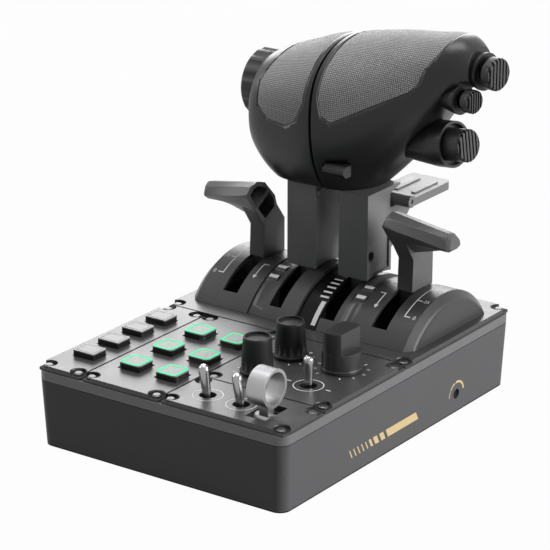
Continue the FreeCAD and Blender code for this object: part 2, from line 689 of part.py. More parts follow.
def toggle(label, x, y, lean):
    """A bat-handle toggle: a tapered bat with a round tip on a ball in the switch case."""
    pivot = frame_top - s.toggle_pivot_depth
    top = panel_top + s.bat_height - pivot
    tip = s.bat_tip
    profile = [(0, -s.toggle_ball), (s.toggle_ball * 0.7, -s.toggle_ball * 0.7), (s.toggle_ball, 0),
               (s.toggle_ball * 0.75, s.toggle_ball * 0.66), (s.bat_root, s.toggle_ball),
               (tip, top - tip * 1.2), (tip * 0.9, top - tip * 0.5), (tip * 0.5, top - tip * 0.12),
               (0, top)]
    rotation = FreeCAD.Rotation(FreeCAD.Vector(0, 1, 0), -lean.value)
    node(label, turned(label, profile, x, y, pivot, rotation))


def toggles():
    upright = s.toggle_rest_lean * 0
    toggle("toggle_switch_1", *TOGGLES[0], s.toggle_rest_lean)
    toggle("toggle_switch_2", *TOGGLES[1], s.toggle_rest_lean)
    toggle("toggle_switch_3", *TOGGLES[2], upright)


def ring_lever():
    """Finger ring on a stem that rocks fore and aft in the toggle panel."""
    half = s.ring_width / 2
    x = (s.ring_across - half, s.ring_across + half)
    centre = (ring_row, s.ring_centre)
    hub_height = frame_top - s.toggle_pivot_depth
    tube = rod("ring_outside", s.ring_outer, x, centre)
    hole = rod("ring_hole", s.ring_inner, (x[0] - 1, x[1] + 1), centre)
    stem_low = hub_height
    stem_high = s.ring_centre - s.ring_inner
    stem = box("ring_stem", (s.ring_across - s.ring_stem, s.ring_across + s.ring_stem),
               (ring_row - s.ring_stem, ring_row + s.ring_stem), (stem_low, stem_high))
    reach = s.ring_slot_width / 2 - s.fit_gap
    hub = rod("ring_hub", s.ring_hub, (s.ring_across - reach, s.ring_across + reach),
              (ring_row, hub_height))
    node("ring_lever", cut("ring_lever", fuse("ring_blank", [tube, stem, hub]), [hole]))


def knob_blank(name, radii, height):
    """Turned knob with a skirt, a slight taper, a lip and a dished top."""
    skirt, body, top = radii
    rim = top - s.knob_lip
    return turned(name, [(0, 0), (skirt, 0), (skirt, s.knob_skirt_height),
                         (body, s.knob_skirt_height + (skirt - body)), (top, height - s.knob_lip),
                         (top - s.knob_lip * 0.4, height), (rim, height), (rim, height - s.knob_dish),
                         (0, height - s.knob_dish)])


def rotary_knob(label, x, y):
    """Fluted knob on its encoder stalk."""
    blank = knob_blank(f"{label}_blank", (s.knob_skirt, s.knob_radius, s.knob_top_radius), s.knob_height)
    cutters = []
    low = s.knob_skirt_height * 2
    for step in range(int(s.flute_count.value)):
        angle = as_size(360 * step) / s.flute_count
        reach = s.knob_radius + s.flute_radius - s.flute_depth
        cutters.append(rod(f"{label}_flute", s.flute_radius, (low, s.knob_height + 1),
                           (reach * cosine(angle), reach * sine(angle)), "Z"))
    stalk = rod(f"{label}_stalk", s.stalk_radius, (-s.panel_thickness - s.fit_gap - 5, 1), (0, 0), "Z")
    item = fuse(f"{label}_whole", [cut(f"{label}_fluted", blank, cutters), stalk])
    node(label, place(item, x, y, panel_top + s.fit_gap))


def selector_knob():
    """Round skirt with a raised bar across it."""
    height = s.selector_height
    middle = height * 0.485
    disc = turned("selector_disc", [(0, 0), (s.selector_skirt, 0), (s.selector_skirt, s.knob_skirt_height),
                                    (s.selector_radius, s.knob_skirt_height + 0.5),
                                    (s.selector_radius, middle), (0, middle)])
    bar = box("selector_bar_block", (-s.selector_bar / 2, s.selector_bar / 2),
              (-s.selector_radius, s.selector_radius), (0, height))
    barrel = rod("selector_barrel", s.selector_radius - 0.1, (0, height), (0, 0), "Z")
    stalk = rod("selector_stalk", s.stalk_radius, (-s.panel_thickness - s.fit_gap - 5, 1), (0, 0), "Z")
    item = fuse("selector_whole", [disc, common("selector_handle", bar, barrel), stalk])
    node("selector_knob", place(item, s.selector_across, selector_row, panel_top + s.fit_gap))


# ------------------------------------------------------------------ lever quadrant


def on_arc(radius, angle):
    """A point of the quadrant: radius from the pivot, angle back from upright."""
    return (s.pivot_row + radius * sine(angle), s.pivot_height + radius * cosine(angle))


def wedge(name, x, low, high):
    """A fan from the pivot between two angles, far past the arch."""
    reach = s.arch_radius * 1.6
    middle = (as_size(low) + high) / 2
    points = [PIVOT, on_arc(reach, low), on_arc(reach, middle), on_arc(reach, high)]
    return prism(name, "YZ_Plane", x[0], points, as_size(x[1]) - x[0])


def arc_block(name, x, inner, outer, low, high):
    """A block that follows the arch."""
    tube = cut(f"{name}_tube", rod(f"{name}_out", outer, x, PIVOT),
               [rod(f"{name}_in", inner, (x[0] - 1, x[1] + 1), PIVOT)])
    return common(f"{name}_block", tube, wedge(f"{name}_fan", x, low, high))


def below_plate(name, x):
    return box(name, (x[0] - 1, x[1] + 1), (s.pivot_row - 2 * s.arch_radius, s.pivot_row + 2 * s.arch_radius),
               (s.pivot_height - 2 * s.arch_radius, panel_top))


def arch(name, x, radius, cutters=()):
    """A stretch of the arched cover standing on the plate."""
    outer = rod(f"{name}_outer", radius, x, PIVOT)
    inner = rod(f"{name}_inner", s.arch_radius - s.arch_wall, (x[0] - 1, x[1] + 1), PIVOT)
    return cut(f"{name}_shell", outer, [inner, below_plate(f"{name}_foot", x)] + list(cutters))


def quadrant_covers():
    """Slotted covers, the centre rib, the index strip and the end caps."""
    gap = s.cover_gap / 2
    slot = (s.outer_slot_centre - s.outer_slot_width / 2, s.outer_slot_centre + s.outer_slot_width / 2)
    outer = arch("outer_cover", (s.cover_seam + gap, s.arch_half), s.arch_radius,
                 [wedge("outer_slot", slot, -s.slot_half_angle, s.slot_half_angle)])
    node("right_outer_cover", outer)
    node("left_outer_cover", mirrored("left_outer_cover", outer))
    step = arch("inner_cover_step", (s.inner_slot_from + gap, s.lane_from), s.arch_radius,
                [wedge("inner_slot", (s.inner_slot_from - 1, s.inner_slot_to),
                       -s.inner_slot_half_angle, s.inner_slot_half_angle)])
    lane = arch("inner_cover_lane", (s.lane_from, s.cover_seam - gap), s.arch_radius - s.lane_depth)
    middle = (s.lane_from + s.cover_seam) / 2
    half = s.lane_bar_width / 2
    bars = [arc_block(f"lane_bar_{number}", (middle - half, middle + half),
                      s.arch_radius - s.lane_depth - 0.5, s.arch_radius + s.lane_bar_proud,
                      angle - s.lane_bar_half, angle + s.lane_bar_half)
            for number, angle in enumerate((s.lane_bar_low, s.lane_bar_high))]
    inner = fuse("inner_cover", [step, lane] + bars)
    node("right_inner_cover", inner)
    node("left_inner_cover", mirrored("left_inner_cover", inner))
    node("centre_rib", arch("centre_rib", (s.rib_from, s.rib_to), s.rib_radius))
    node("index_strip", arch("index_strip", (s.rib_to + gap, s.strip_to), s.arch_radius))
    wall = s.arch_wall
    cap = turned("end_cap_turned", [(s.arch_radius - wall, 0), (s.arch_radius, 0),
                                    (s.cap_radius, s.cap_depth), (0, s.cap_depth),
                                    (0, s.cap_depth - wall), (s.cap_radius - wall, s.cap_depth - wall)],
                 s.arch_half, s.pivot_row, s.pivot_height, TO_X)
    end_cap = cut("end_cap", cap, [below_plate("end_cap_foot", (s.arch_half, s.arch_half + s.cap_depth))])
    node("right_end_cap", end_cap)
    node("left_end_cap", mirrored("left_end_cap", end_cap))


def pivot_parts():
    """The lever shaft and the brackets that stand on the floor of the housing."""
    node("pivot_shaft", rod("pivot_shaft", s.shaft_radius,
                            (-s.outer_bracket - s.bracket_thickness, s.outer_bracket + s.bracket_thickness),
                            PIVOT))
    brackets = []
    half = s.bracket_thickness / 2
    places = (-s.outer_bracket - half, -s.inner_bracket, 0, s.inner_bracket, s.outer_bracket + half)
    for centre in places:
        centre = as_size(centre)
        x = (centre - half, centre + half)
        outline = [(s.pivot_row - s.bracket_half, s.housing_floor),
                   (s.pivot_row + s.bracket_half, s.housing_floor),
                   (s.pivot_row + s.bracket_height * 0.6, s.pivot_height + s.bracket_height * 0.6),
                   (s.pivot_row, s.pivot_height + s.bracket_height * 0.9),
                   (s.pivot_row - s.bracket_height * 0.6, s.pivot_height + s.bracket_height * 0.6)]
        plate = prism("bracket_plate", "YZ_Plane", x[0], outline, s.bracket_thickness)
        cutters = [rod("bracket_bore", s.shaft_radius, (x[0] - 1, x[1] + 1), PIVOT)]
        if centre.value > s.inner_bracket.value + 1:
            cutters.append(rod("bracket_tap", s.friction_shank + s.running_gap, (x[0] - 1, x[1] + 1),
                               (s.friction_row, s.friction_height)))
        brackets.append(cut("bracket", plate, cutters))
    node("shaft_brackets", group("shaft_brackets", brackets))


def friction_screw():
    """Socket-head screw in the side wall that sets the lever friction."""
    hub_side = s.outer_slot_centre + s.aux_neck_width / 2 + s.fit_gap
    head_out = half_width - s.friction_recess
    head_in = head_out - s.friction_head_length
    centre = (s.friction_row, s.friction_height)
    shank = rod("friction_shank", s.friction_shank, (hub_side, head_in + 1), centre)
    head = rod("friction_head", s.friction_head, (head_in, head_out), centre)
    socket = rod("friction_socket", s.friction_head * 0.5, (head_out - s.friction_head * 0.6, head_out + 1),
                 centre)
    node("friction_screw", cut("friction_screw", fuse("friction_blank", [shank, head]), [socket]))


def lever_root(name, x, width):
    """Hub on the shaft and the neck through the slot, padded about the pivot."""
    low = x - width / 2
    limits = (low, low + width)
    neck = prism(f"{name}_neck", "YZ_Plane", low,
                 [(s.pivot_row - s.neck_half, s.pivot_height), (s.pivot_row + s.neck_half, s.pivot_height),
                  (s.pivot_row + s.neck_half, s.pivot_height + s.arch_radius + s.neck_half),
                  (s.pivot_row - s.neck_half, s.pivot_height + s.arch_radius + s.neck_half)], width)
    return [rod(f"{name}_hub", s.hub_radius, limits, PIVOT), neck]


def shaft_bore(name, x):
    return rod(name, s.shaft_radius + s.running_gap, x, PIVOT)


AUX_SECTION = ((36.6, 128.1), (41.5, 133.0), (49.0, 135.0), (57.7, 132.4), (69.2, 120.4),
               (72.0, 112.0), (57.0, 104.0), (44.0, 118.5))
AUX_END = ((46.3, 118.0), (48.5, 124.5), (51.5, 127.0), (57.0, 126.2), (62.0, 121.5),
           (63.3, 117.0), (58.0, 115.0), (50.0, 115.2))
UPPER_CAVITY = ((40.8, 127.6), (45.0, 131.0), (50.0, 131.8), (56.5, 129.6), (60.4, 127.0), (46.8, 119.0))
LOWER_CAVITY = ((49.5, 116.6), (62.8, 124.4), (67.4, 118.8), (68.6, 112.5), (58.0, 107.0))


def outline_wire(points, x, grow=0.0):
    """A closed straight-sided wire across the lever at one place."""
    middle_y = sum(point[0] for point in points) / len(points)
    middle_z = sum(point[1] for point in points) / len(points)
    corners = [FreeCAD.Vector(x, y + (y - middle_y) * grow, z + (z - middle_z) * grow)
               for y, z in points]
    return Part.makePolygon(corners + corners[:1])


def aux_levers():
    """Auxiliary levers: stalk on a slotted neck, with a swept handle that opens on its inner side."""
    inner = s.outer_slot_centre - s.aux_stalk_width / 2
    limits = (inner, inner + s.aux_stalk_width)
    underside = s.arch_radius + s.lever_gap
    stalk = prism("aux_stalk", "YZ_Plane", inner,
                  [(s.aux_stalk_front, s.pivot_height + s.arch_radius * 0.8),
                   (s.aux_stalk_back, s.pivot_height + s.arch_radius * 0.8),
                   (s.aux_stalk_back, s.aux_knee), (71.8, 113.0), (60.0, 118.0), (48.0, 114.8),
                   (s.aux_stalk_front + 1.5, s.aux_knee)], s.aux_stalk_width)
    stalk = cut("aux_stalk_trimmed", stalk, [rod("aux_clear", underside, (limits[0] - 1, limits[1] + 1),
                                                 PIVOT)])
    handle = doc.addObject("Part::Feature", "aux_handle")
    tip = s.aux_tip.value
    chamfer = s.aux_chamfer.value
    handle.Shape = Part.makeLoft([outline_wire(AUX_SECTION, inner.value),
                                  outline_wire(AUX_END, tip - chamfer),
                                  outline_wire(AUX_END, tip, -0.25)], True, True)
    blank = fuse("aux_blank", lever_root("aux", s.outer_slot_centre, s.aux_neck_width) + [stalk, handle])
    cutters = [shaft_bore("aux_bore", (limits[0] - 1, limits[1] + 1))]
    for number, points in enumerate((UPPER_CAVITY, LOWER_CAVITY)):
        cutters.append(prism(f"aux_cavity_{number}", "YZ_Plane", inner - 1, points, s.cavity_depth + 1))
    right = cut("right_aux_lever", blank, cutters)
    node("right_aux_lever", right)
    node("left_aux_lever", mirrored("left_aux_lever", right))


def throttle_arms():
    """Throttle arms: slab arm on a slotted neck, notched for the finger lift and its hinge pin."""
    width = s.arm_to - s.arm_from
    underside = s.rib_radius + s.lever_gap
    low = s.pivot_height + s.arch_radius * 0.9
    slab = prism("arm_slab", "YZ_Plane", s.arm_from,
                 [(s.arm_front, low), (s.arm_back, low), (s.arm_back, s.arm_waist),
                  (s.arm_knee_row, arm_knee), (s.arm_knee_row - 4, arm_notch + 2),
                  (s.arm_crest_row, arm_top), (s.arm_front, arm_top)], width)
    limits = (s.arm_from - 1, s.arm_to + 1)
    slab = cut("arm_trimmed", slab, [rod("arm_clear", underside, limits, PIVOT)])
    slot_middle = (s.inner_slot_from + s.inner_slot_to) / 2
    neck_width = s.inner_slot_to - s.inner_slot_from - 2 * s.fit_gap - s.cover_gap
    studs = [rod("arm_stud", s.stud_radius, (s.arm_from - s.stud_length, s.arm_from + 1),
                 (s.stud_row, s.lift_height + s.stud_rise))]
    notch = prism("arm_notch", "YZ_Plane", s.arm_from + s.arm_cheek,
                  [(s.arm_notch_row, arm_notch), (s.arm_knee_row + 5, arm_notch),
                   (s.arm_knee_row + 5, arm_top + 5), (s.arm_crest_row, arm_notch_top + 3.2),
                   (s.arm_notch_row, arm_notch_top)], width)
    recess = box("arm_recess", (s.arm_to - s.arm_recess_depth, s.arm_to + 1),
                 (s.arm_front + 1.5, s.arm_back - 2.4), (s.arm_recess_low, s.arm_recess_high))
    hole = rod("arm_hole_drill", s.arm_hole, (s.arm_to - 6, s.arm_to + 1),
               (s.arm_hole_row, s.arm_hole_height))
    root_pieces = lever_root("arm", slot_middle, neck_width)
    body = cut("arm_notched", fuse("arm_blank", [slab] + root_pieces + studs), [notch, recess, hole])
    pin = rod("arm_pin", s.lift_pin, (s.arm_from + 1, s.lift_to - 1), (s.lift_row, s.lift_height))
    right = cut("right_throttle_arm", fuse("arm_with_pin", [body, pin]),
                [shaft_bore("arm_bore", (slot_middle - neck_width, slot_middle + neck_width))])
    node("right_throttle_arm", right)
    node("left_throttle_arm", mirrored("left_throttle_arm", right))


def finger_lifts():
    """Finger lifts: a plate hinged on the arm's pin, with two ribs and a lug."""
    start = s.arm_from + s.arm_cheek + s.fit_gap
    x = (start, s.lift_to)
    body = new_body("lift_plate")
    outline = new_sketch(body, "XY_Plane", lift_top - s.lift_thickness, "lift_outline")
    draw_rectangle(outline, x, (s.lift_row, s.lift_back))
    pad(body, outline, s.lift_thickness)
    round_upright(body, s.lift_corner, lambda point: point.y > s.lift_back.value - 1)
    barrel = rod("lift_barrel_rod", s.lift_barrel, x, (s.lift_row, s.lift_height))
    ribs = []
    for share in (0.36, 0.8):
        centre = x[0] + (s.lift_to - start) * share
        ribs.append(box("lift_rib", (centre - s.lift_rib, centre + s.lift_rib),
                        (s.lift_rib_from, s.lift_rib_to),
                        (lift_top - 0.5, lift_top + s.lift_rib_height)))
    lug_end = s.lift_back - s.lift_lug_inset
    lug = box("lift_lug_block", (s.lift_to - 8, s.lift_to - 4), (lug_end - s.lift_lug_length, lug_end),
              (lift_top - s.lift_thickness - s.lift_lug, lift_top - s.lift_thickness + 0.5))
    bore = rod("lift_bore", s.lift_pin + s.running_gap, (x[0] - 1, x[1] + 1), (s.lift_row, s.lift_height))
    right = cut("right_finger_lift", fuse("lift_blank", [body, barrel, lug] + ribs), [bore])
    node("right_finger_lift", right)
    node("left_finger_lift", mirrored("left_finger_lift", right))


# ------------------------------------------------------------------ grips


def station(name, shrink=0.0):
    """One rounded section of a grip, drawn in as far as asked."""
    across, front, back, top, bottom, crown, waist = (
        getattr(s, f"{name}_{field}").value for field in STATION_FIELDS)
    top, bottom, waist = (grip_floor.value + height for height in (top, bottom, waist))
    power = 2 / s.grip_exponent.value
    points = []
    steps = 16
    for step in range(steps):
        angle = 2 * math.pi * step / steps
        swing_y = math.copysign(abs(math.cos(angle)) ** power, math.cos(angle))
        swing_z = math.copysign(abs(math.sin(angle)) ** power, math.sin(angle))
        reach_y = (back - crown if swing_y > 0 else crown - front) - shrink
        reach_z = (top - waist if swing_z > 0 else waist - bottom) - shrink
        points.append(FreeCAD.Vector(across, crown + reach_y * swing_y, waist + reach_z * swing_z))
    curve = Part.BSplineCurve()
    curve.interpolate(points, PeriodicFlag=True)
    return Part.Wire([curve.toShape()])


def grip_loft(names, shrink=0.0):
    """The smooth hull through a row of stations, levelled at the bottom."""
    hull = Part.makeLoft([station(name, shrink) for name in names], True, False)
    level = Part.makeBox(400, 400, 200, FreeCAD.Vector(-200, -100, grip_floor.value - 200))
    return hull.cut(level)


def feature(name, shape):
    """An object that keeps a shape made with Part's own functions."""
    item = doc.addObject("Part::Feature", name)
    item.Shape = shape
    return item


def front_prism(points, grow=0.0):
    """An outline seen from the front, pushed through the front half of a grip."""
    middle_x = sum(point[0] for point in points) / len(points)
    middle_z = sum(point[1] for point in points) / len(points)
    corners = []
    for x, z in points:
        out = FreeCAD.Vector(x - middle_x, 0, z - middle_z)
        out.normalize()
        corners.append(FreeCAD.Vector(x + out.x * grow, 0, grip_floor.value + z + out.z * grow))
    face = Part.Face(Part.makePolygon(corners + corners[:1]))
    return face.extrude(FreeCAD.Vector(0, s.left_gap_crown.value + 8, 0))


def grip(side, names, outline, cutters):
    """A grip shell with its rubber panel let into the front and top."""
    hull = grip_loft(names)
    core = grip_loft(names, s.rubber_depth.value)
    tray = hull.common(front_prism(outline, s.rubber_seam.value)).cut(core)
    rubber = hull.common(front_prism(outline)).cut(core)
    shell = feature(f"{side}_grip_hull", hull.cut(tray))
    node(f"{side}_grip_rubber", feature(f"{side}_grip_rubber", rubber))
    node(f"{side}_grip_shell", cut(f"{side}_grip_shell", shell, cutters))


HAT_AIM = FreeCAD.Rotation(FreeCAD.Vector(0, 0, 1), -s.hat_turn.value) * TO_X
POD_AIM = (FreeCAD.Rotation(FreeCAD.Vector(0, 0, 1), -s.hat_turn.value)
           * FreeCAD.Rotation(FreeCAD.Vector(0, 1, 0), -s.pod_rise.value) * TO_X)


def socket_profile(ring, length, bore, root_share=0.62):
    """A flared hat socket with a bore that holds the gimbal."""
    return [(0, -length), (ring * root_share, -length), (ring, -2), (ring, 0), (bore, 0),
            (bore, -s.socket_depth), (0, -s.socket_depth)]


def filled(profile, name, x, y, z, aim):
    """The outline without its bore, carried on past its ring to make room for what it holds."""
    room = profile[3][0] + s.room_margin
    return turned(name, profile[:4] + [(room, 0), (room, s.hat_room), (0, s.hat_room)], x, y, z, aim)


def hat_cap(label, radius, x, y, z):
    """A ribbed hat cap that tilts on the ball of its gimbal."""
    top = s.hat_clear + s.hat_cap
    cup = s.gimbal_ball + s.running_gap
    mouth = root(cup * cup - (s.hat_pivot - s.hat_clear) * (s.hat_pivot - s.hat_clear))
    blank = turned(f"{label}_blank", [(0, s.hat_clear), (radius * 0.82, s.hat_clear),
                                      (radius, s.hat_clear + 2), (radius, top - 1.2),
                                      (radius - 1.2, top), (0, top)])
    seat = doc.addObject("Part::Sphere", f"{label}_seat")
    bind(seat, "Radius", cup)
    place(seat, 0, 0, s.hat_pivot)
    cutters = [seat, rod(f"{label}_mouth", mouth, (s.hat_clear - 1, s.hat_clear + 1), (0, 0), "Z")]
    for step in range(int(s.rib_count.value)):
        offset = (step - (s.rib_count - 1) / 2) * (2 * radius / s.rib_count)
        cutters.append(box(f"{label}_groove", (-radius - 1, radius + 1),
                           (offset - s.rib_groove / 2, offset + s.rib_groove / 2),
                           (top - s.rib_groove_depth, top + 1)))
    item = cut(label, blank, cutters)
    node(label, place(item, x, y, z, HAT_AIM))


def hat_gimbal(label, x, y, z):
    """The stem that swings in its socket, with the ball that carries the cap."""
    low = s.fit_gap - s.socket_depth
    stem = turned(f"{label}_stem", [(0, low), (s.gimbal_foot * 0.4, low),
                                    (s.gimbal_foot, low + s.gimbal_foot_height),
                                    (s.gimbal_foot, low + s.gimbal_foot_height * 2),
                                    (s.gimbal_stem, low + s.gimbal_foot_height * 3),
                                    (s.gimbal_stem, s.hat_pivot), (0, s.hat_pivot)])
    ball = doc.addObject("Part::Sphere", f"{label}_ball")
    bind(ball, "Radius", s.gimbal_ball)
    place(ball, 0, 0, s.hat_pivot)
    node(label, place(fuse(label, [stem, ball]), x, y, z, HAT_AIM))


def hats():
    """Two hats with their gimbals, the shared housing, the brake pod and its switch."""
    sites = {"top": (s.top_hat_across, s.top_hat_row, top_hat_height, s.hat_ring,
                     s.top_socket_length, s.hat_radius, s.hat_bore),
             "low": (s.low_hat_across, s.low_hat_row, low_hat_height, s.low_hat_ring,
                     s.low_socket_length, s.low_hat_radius, s.low_hat_bore)}
    sockets = []
    room = []
    for name, (x, y, z, ring, length, radius, bore) in sites.items():
        profile = socket_profile(ring, length, bore)
        sockets.append(turned(f"{name}_socket", profile, x, y, z, HAT_AIM))
        room.append(filled(profile, f"{name}_socket_room", x, y, z, HAT_AIM))
        hat_gimbal(f"{name}_hat_gimbal", x, y, z)
        hat_cap(f"{name}_hat_cap", radius, x, y, z)
    lower = cut("low_socket_trimmed", sockets[1], [room[0]])
    node("hat_housing", group("hat_housing", [sockets[0], lower]))
    mouth = s.brake_radius + s.brake_travel + s.fit_gap
    well = s.brake_shank + s.brake_travel + s.fit_gap
    pod = [(0, -s.pod_length), (s.pod_root, -s.pod_length), (s.pod_radius, -s.pod_recess * 2),
           (s.pod_radius, 0), (mouth, 0), (mouth, -s.pod_recess), (well, -s.pod_recess),
           (well, -s.pod_recess * 2), (0, -s.pod_recess * 2)]
    place_pod = (s.pod_across, s.pod_row, pod_height, POD_AIM)
    pod_body = turned("pod_body", pod, *place_pod)
    pod_room = filled(pod, "pod_room", *place_pod)
    node("brake_pod", cut("brake_pod", pod_body, [room[1]]))
    base = s.fit_gap - s.pod_recess
    foot = s.fit_gap - s.pod_recess * 2
    switch = turned("brake_switch_blank", [
        (0, foot), (s.brake_shank, foot), (s.brake_shank, base),
        (s.brake_radius, base), (s.brake_radius, s.brake_proud - 1.2), (s.brake_radius - 1.2, s.brake_proud),
        (0, s.brake_proud)])
    cutters = []
    for step in range(int(s.rib_count.value)):
        offset = (step - (s.rib_count - 1) / 2) * (2 * s.brake_radius / s.rib_count)
        cutters.append(box("brake_groove", (-s.brake_radius - 1, s.brake_radius + 1),
                           (offset - s.rib_groove / 2, offset + s.rib_groove / 2),
                           (s.brake_proud - s.rib_groove_depth, s.brake_proud + 1)))
    node("brake_switch", place(cut("brake_switch", switch, cutters), *place_pod[:3], POD_AIM))
    return room + [pod_room]


def grips():
    """Both grips, the dial wheel and the thumb paddle."""
    gap = s.paddle_gap
    paddle_room = box("paddle_room", (s.paddle_from - gap, s.paddle_to + gap),
                      (s.paddle_front - 20, s.paddle_back + s.fit_gap),
                      (paddle_low - gap, paddle_high + gap))
    grip("right", RIGHT_STATIONS, RIGHT_RUBBER, hats() + [paddle_room])
    paddle = prism("thumb_paddle", "YZ_Plane", s.paddle_from,
                   [(s.paddle_back, paddle_low), (s.paddle_front + 3, paddle_low),
                    (s.paddle_front, paddle_low + 3), (s.paddle_front, paddle_high - 2),
                    (s.paddle_front + 3, paddle_high), (s.paddle_back, paddle_high)],
                   s.paddle_to - s.paddle_from)
    node("thumb_paddle", paddle)
    axle_end = s.dial_start + s.dial_axle_length
    bore = rod("dial_bore", s.dial_axle + s.running_gap, (s.dial_start - 5, axle_end + s.fit_gap),
               (s.dial_row, dial_height))
    grip("left", LEFT_STATIONS, LEFT_RUBBER, [bore])


def dial_wheel():
    """Thumb wheel with a dimpled rim on the outer end of the left grip."""
    blank = turned("dial_blank", [(0, -s.dial_axle_length), (s.dial_axle, -s.dial_axle_length),
                                  (s.dial_axle, 0), (s.dial_radius - 2, 0), (s.dial_radius, 2),
                                  (s.dial_radius, s.dial_width - 2), (s.dial_radius - 2, s.dial_width),
                                  (s.dial_hub, s.dial_width), (s.dial_hub - 1, s.dial_width - 1.5),
                                  (0, s.dial_width - 1.5)])
    cutters = []
    reach = s.dial_radius + s.dimple_radius - s.dimple_depth
    for step in range(int(s.dimple_count.value)):
        angle = as_size(360 * step) / s.dimple_count
        cutters.append(rod("dial_dimple", s.dimple_radius, (-1, s.dial_width + 1),
                           (reach * cosine(angle), reach * sine(angle)), "Z"))
    item = cut("dial_wheel", blank, cutters)
    node("dial_wheel", place(item, s.dial_start, s.dial_row, dial_height, TO_MINUS_X))


def check_and_write():
    """Refuse failed features and empty shapes, then write one file for each node."""
    doc.recompute()
    for item in doc.Objects:
        if "Invalid" in item.State or "Error" in item.State:
            raise RuntimeError(f"{item.Label} failed: {item.State}")
    os.makedirs("parts", exist_ok=True)
    for label, item in nodes.items():
        shape = item.Shape
        if shape.isNull() or not shape.isValid() or not shape.Solids:
            raise RuntimeError(f"{label} has no valid solid")
        shape.exportStep(f"parts/{label}.step")
        print(label, len(shape.Solids), round(shape.Volume))


lower_housing()
deck_frame()
panels()
panel_screws()
rubber_feet()
circuit_board()
switch_bodies()
buttons()
toggles()
ring_lever()
for number, (knob_x, knob_y) in enumerate(KNOBS, start=1):
    rotary_knob(f"rotary_knob_{number}", knob_x, knob_y)
selector_knob()
quadrant_covers()
pivot_parts()
friction_screw()
aux_levers()
throttle_arms()
finger_lifts()
grips()
dial_wheel()
check_and_write()
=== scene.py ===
import json
import math

import bmesh
import bpy
from bpy.props import FloatProperty, FloatVectorProperty, IntProperty, PointerProperty
from mathutils import Matrix, Vector


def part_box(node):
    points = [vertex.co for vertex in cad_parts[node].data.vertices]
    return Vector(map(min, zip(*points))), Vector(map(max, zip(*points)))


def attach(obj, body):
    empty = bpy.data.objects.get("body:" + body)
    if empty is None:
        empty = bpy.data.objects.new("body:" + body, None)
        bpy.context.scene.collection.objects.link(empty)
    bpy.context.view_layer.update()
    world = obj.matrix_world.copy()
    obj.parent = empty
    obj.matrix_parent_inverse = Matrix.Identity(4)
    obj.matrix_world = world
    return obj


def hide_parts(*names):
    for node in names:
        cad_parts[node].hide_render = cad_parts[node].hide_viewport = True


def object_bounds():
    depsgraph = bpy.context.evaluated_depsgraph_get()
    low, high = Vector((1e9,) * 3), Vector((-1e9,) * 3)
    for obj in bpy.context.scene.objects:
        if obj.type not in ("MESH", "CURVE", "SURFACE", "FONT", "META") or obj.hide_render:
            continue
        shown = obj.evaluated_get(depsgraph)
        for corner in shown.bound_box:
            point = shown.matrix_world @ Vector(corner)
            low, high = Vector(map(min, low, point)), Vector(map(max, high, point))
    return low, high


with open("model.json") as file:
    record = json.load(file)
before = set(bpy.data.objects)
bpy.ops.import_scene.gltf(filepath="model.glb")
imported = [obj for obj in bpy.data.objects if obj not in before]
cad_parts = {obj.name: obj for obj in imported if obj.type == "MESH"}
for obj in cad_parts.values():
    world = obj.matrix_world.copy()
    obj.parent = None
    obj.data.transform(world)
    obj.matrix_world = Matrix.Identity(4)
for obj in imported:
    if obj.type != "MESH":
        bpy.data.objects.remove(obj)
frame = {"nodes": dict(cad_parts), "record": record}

CAD_BOUNDS = [list(corner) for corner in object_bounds()]
MM = 0.001
PRINT_LIFT = 0.06 * MM
SHADOW_LINE = (0.004, 0.004, 0.004)
# Keys have dark sides; above this height their top faces are painted paler, a painted highlight.
KEY_SIDE = (0.012, 0.012, 0.012)
KEY_PAINTED_HIGHLIGHT_LEVEL = 57.6 * MM
SEEN_RAYS = ("Is Camera Ray", "Is Glossy Ray", "Is Transmission Ray")

bl_info = {
    "name": "Throttle quadrant",
    "version": (1, 0, 0),
    "blender": (4, 5, 0),
    "location": "View3D > Sidebar > Quadrant",
    "description": "Dresses the throttle quadrant with finishes, prints and fine pieces",
    "category": "Object",
}


# ------------------------------------------------------------------ settings a user would change


def colour_setting(name, description, default):
    return FloatVectorProperty(name=name, description=description, subtype="COLOR",
                               default=default)


def length_setting(name, description, default):
    return FloatProperty(name=name, description=description, subtype="DISTANCE",
                         unit="LENGTH", default=default)


class QuadrantColours(bpy.types.PropertyGroup):
    """Colours of the main finishes, linear."""

    housing: colour_setting("Housing", "Moulded lower housing", (0.080, 0.080, 0.083))
    panel: colour_setting("Panels", "Satin control panels", (0.030, 0.030, 0.031))
    cover: colour_setting("Covers", "Arched lever covers", (0.036, 0.036, 0.037))
    arm: colour_setting("Arms", "Throttle arms and finger lifts", (0.135, 0.135, 0.138))
    grip: colour_setting("Grips", "Soft-touch grip shells", (0.015, 0.015, 0.0155))
    rubber: colour_setting("Rubber", "Dotted grip panels", (0.34, 0.34, 0.34))
    gold: colour_setting("Gold print", "Bars on the right wall", (0.62, 0.48, 0.25))
    green: colour_setting("Green rim", "Lit rims of the square buttons", (0.004, 0.78, 0.30))


class QuadrantSizes(bpy.types.PropertyGroup):
    """Sizes of the prints and fine pieces."""

    edge: length_setting("Edge radius", "Softening of the machined edges", 0.5 * MM)
    line: length_setting("Line width", "Width of the printed lines", 0.7 * MM)
    dot_pitch: length_setting("Dot pitch", "Spacing of the dots in the grip rubber", 1.25 * MM)
    dashes: IntProperty(name="Knob dashes", description="Printed dashes round each knob",
                        default=11, min=3)


# ------------------------------------------------------------------ shader expressions


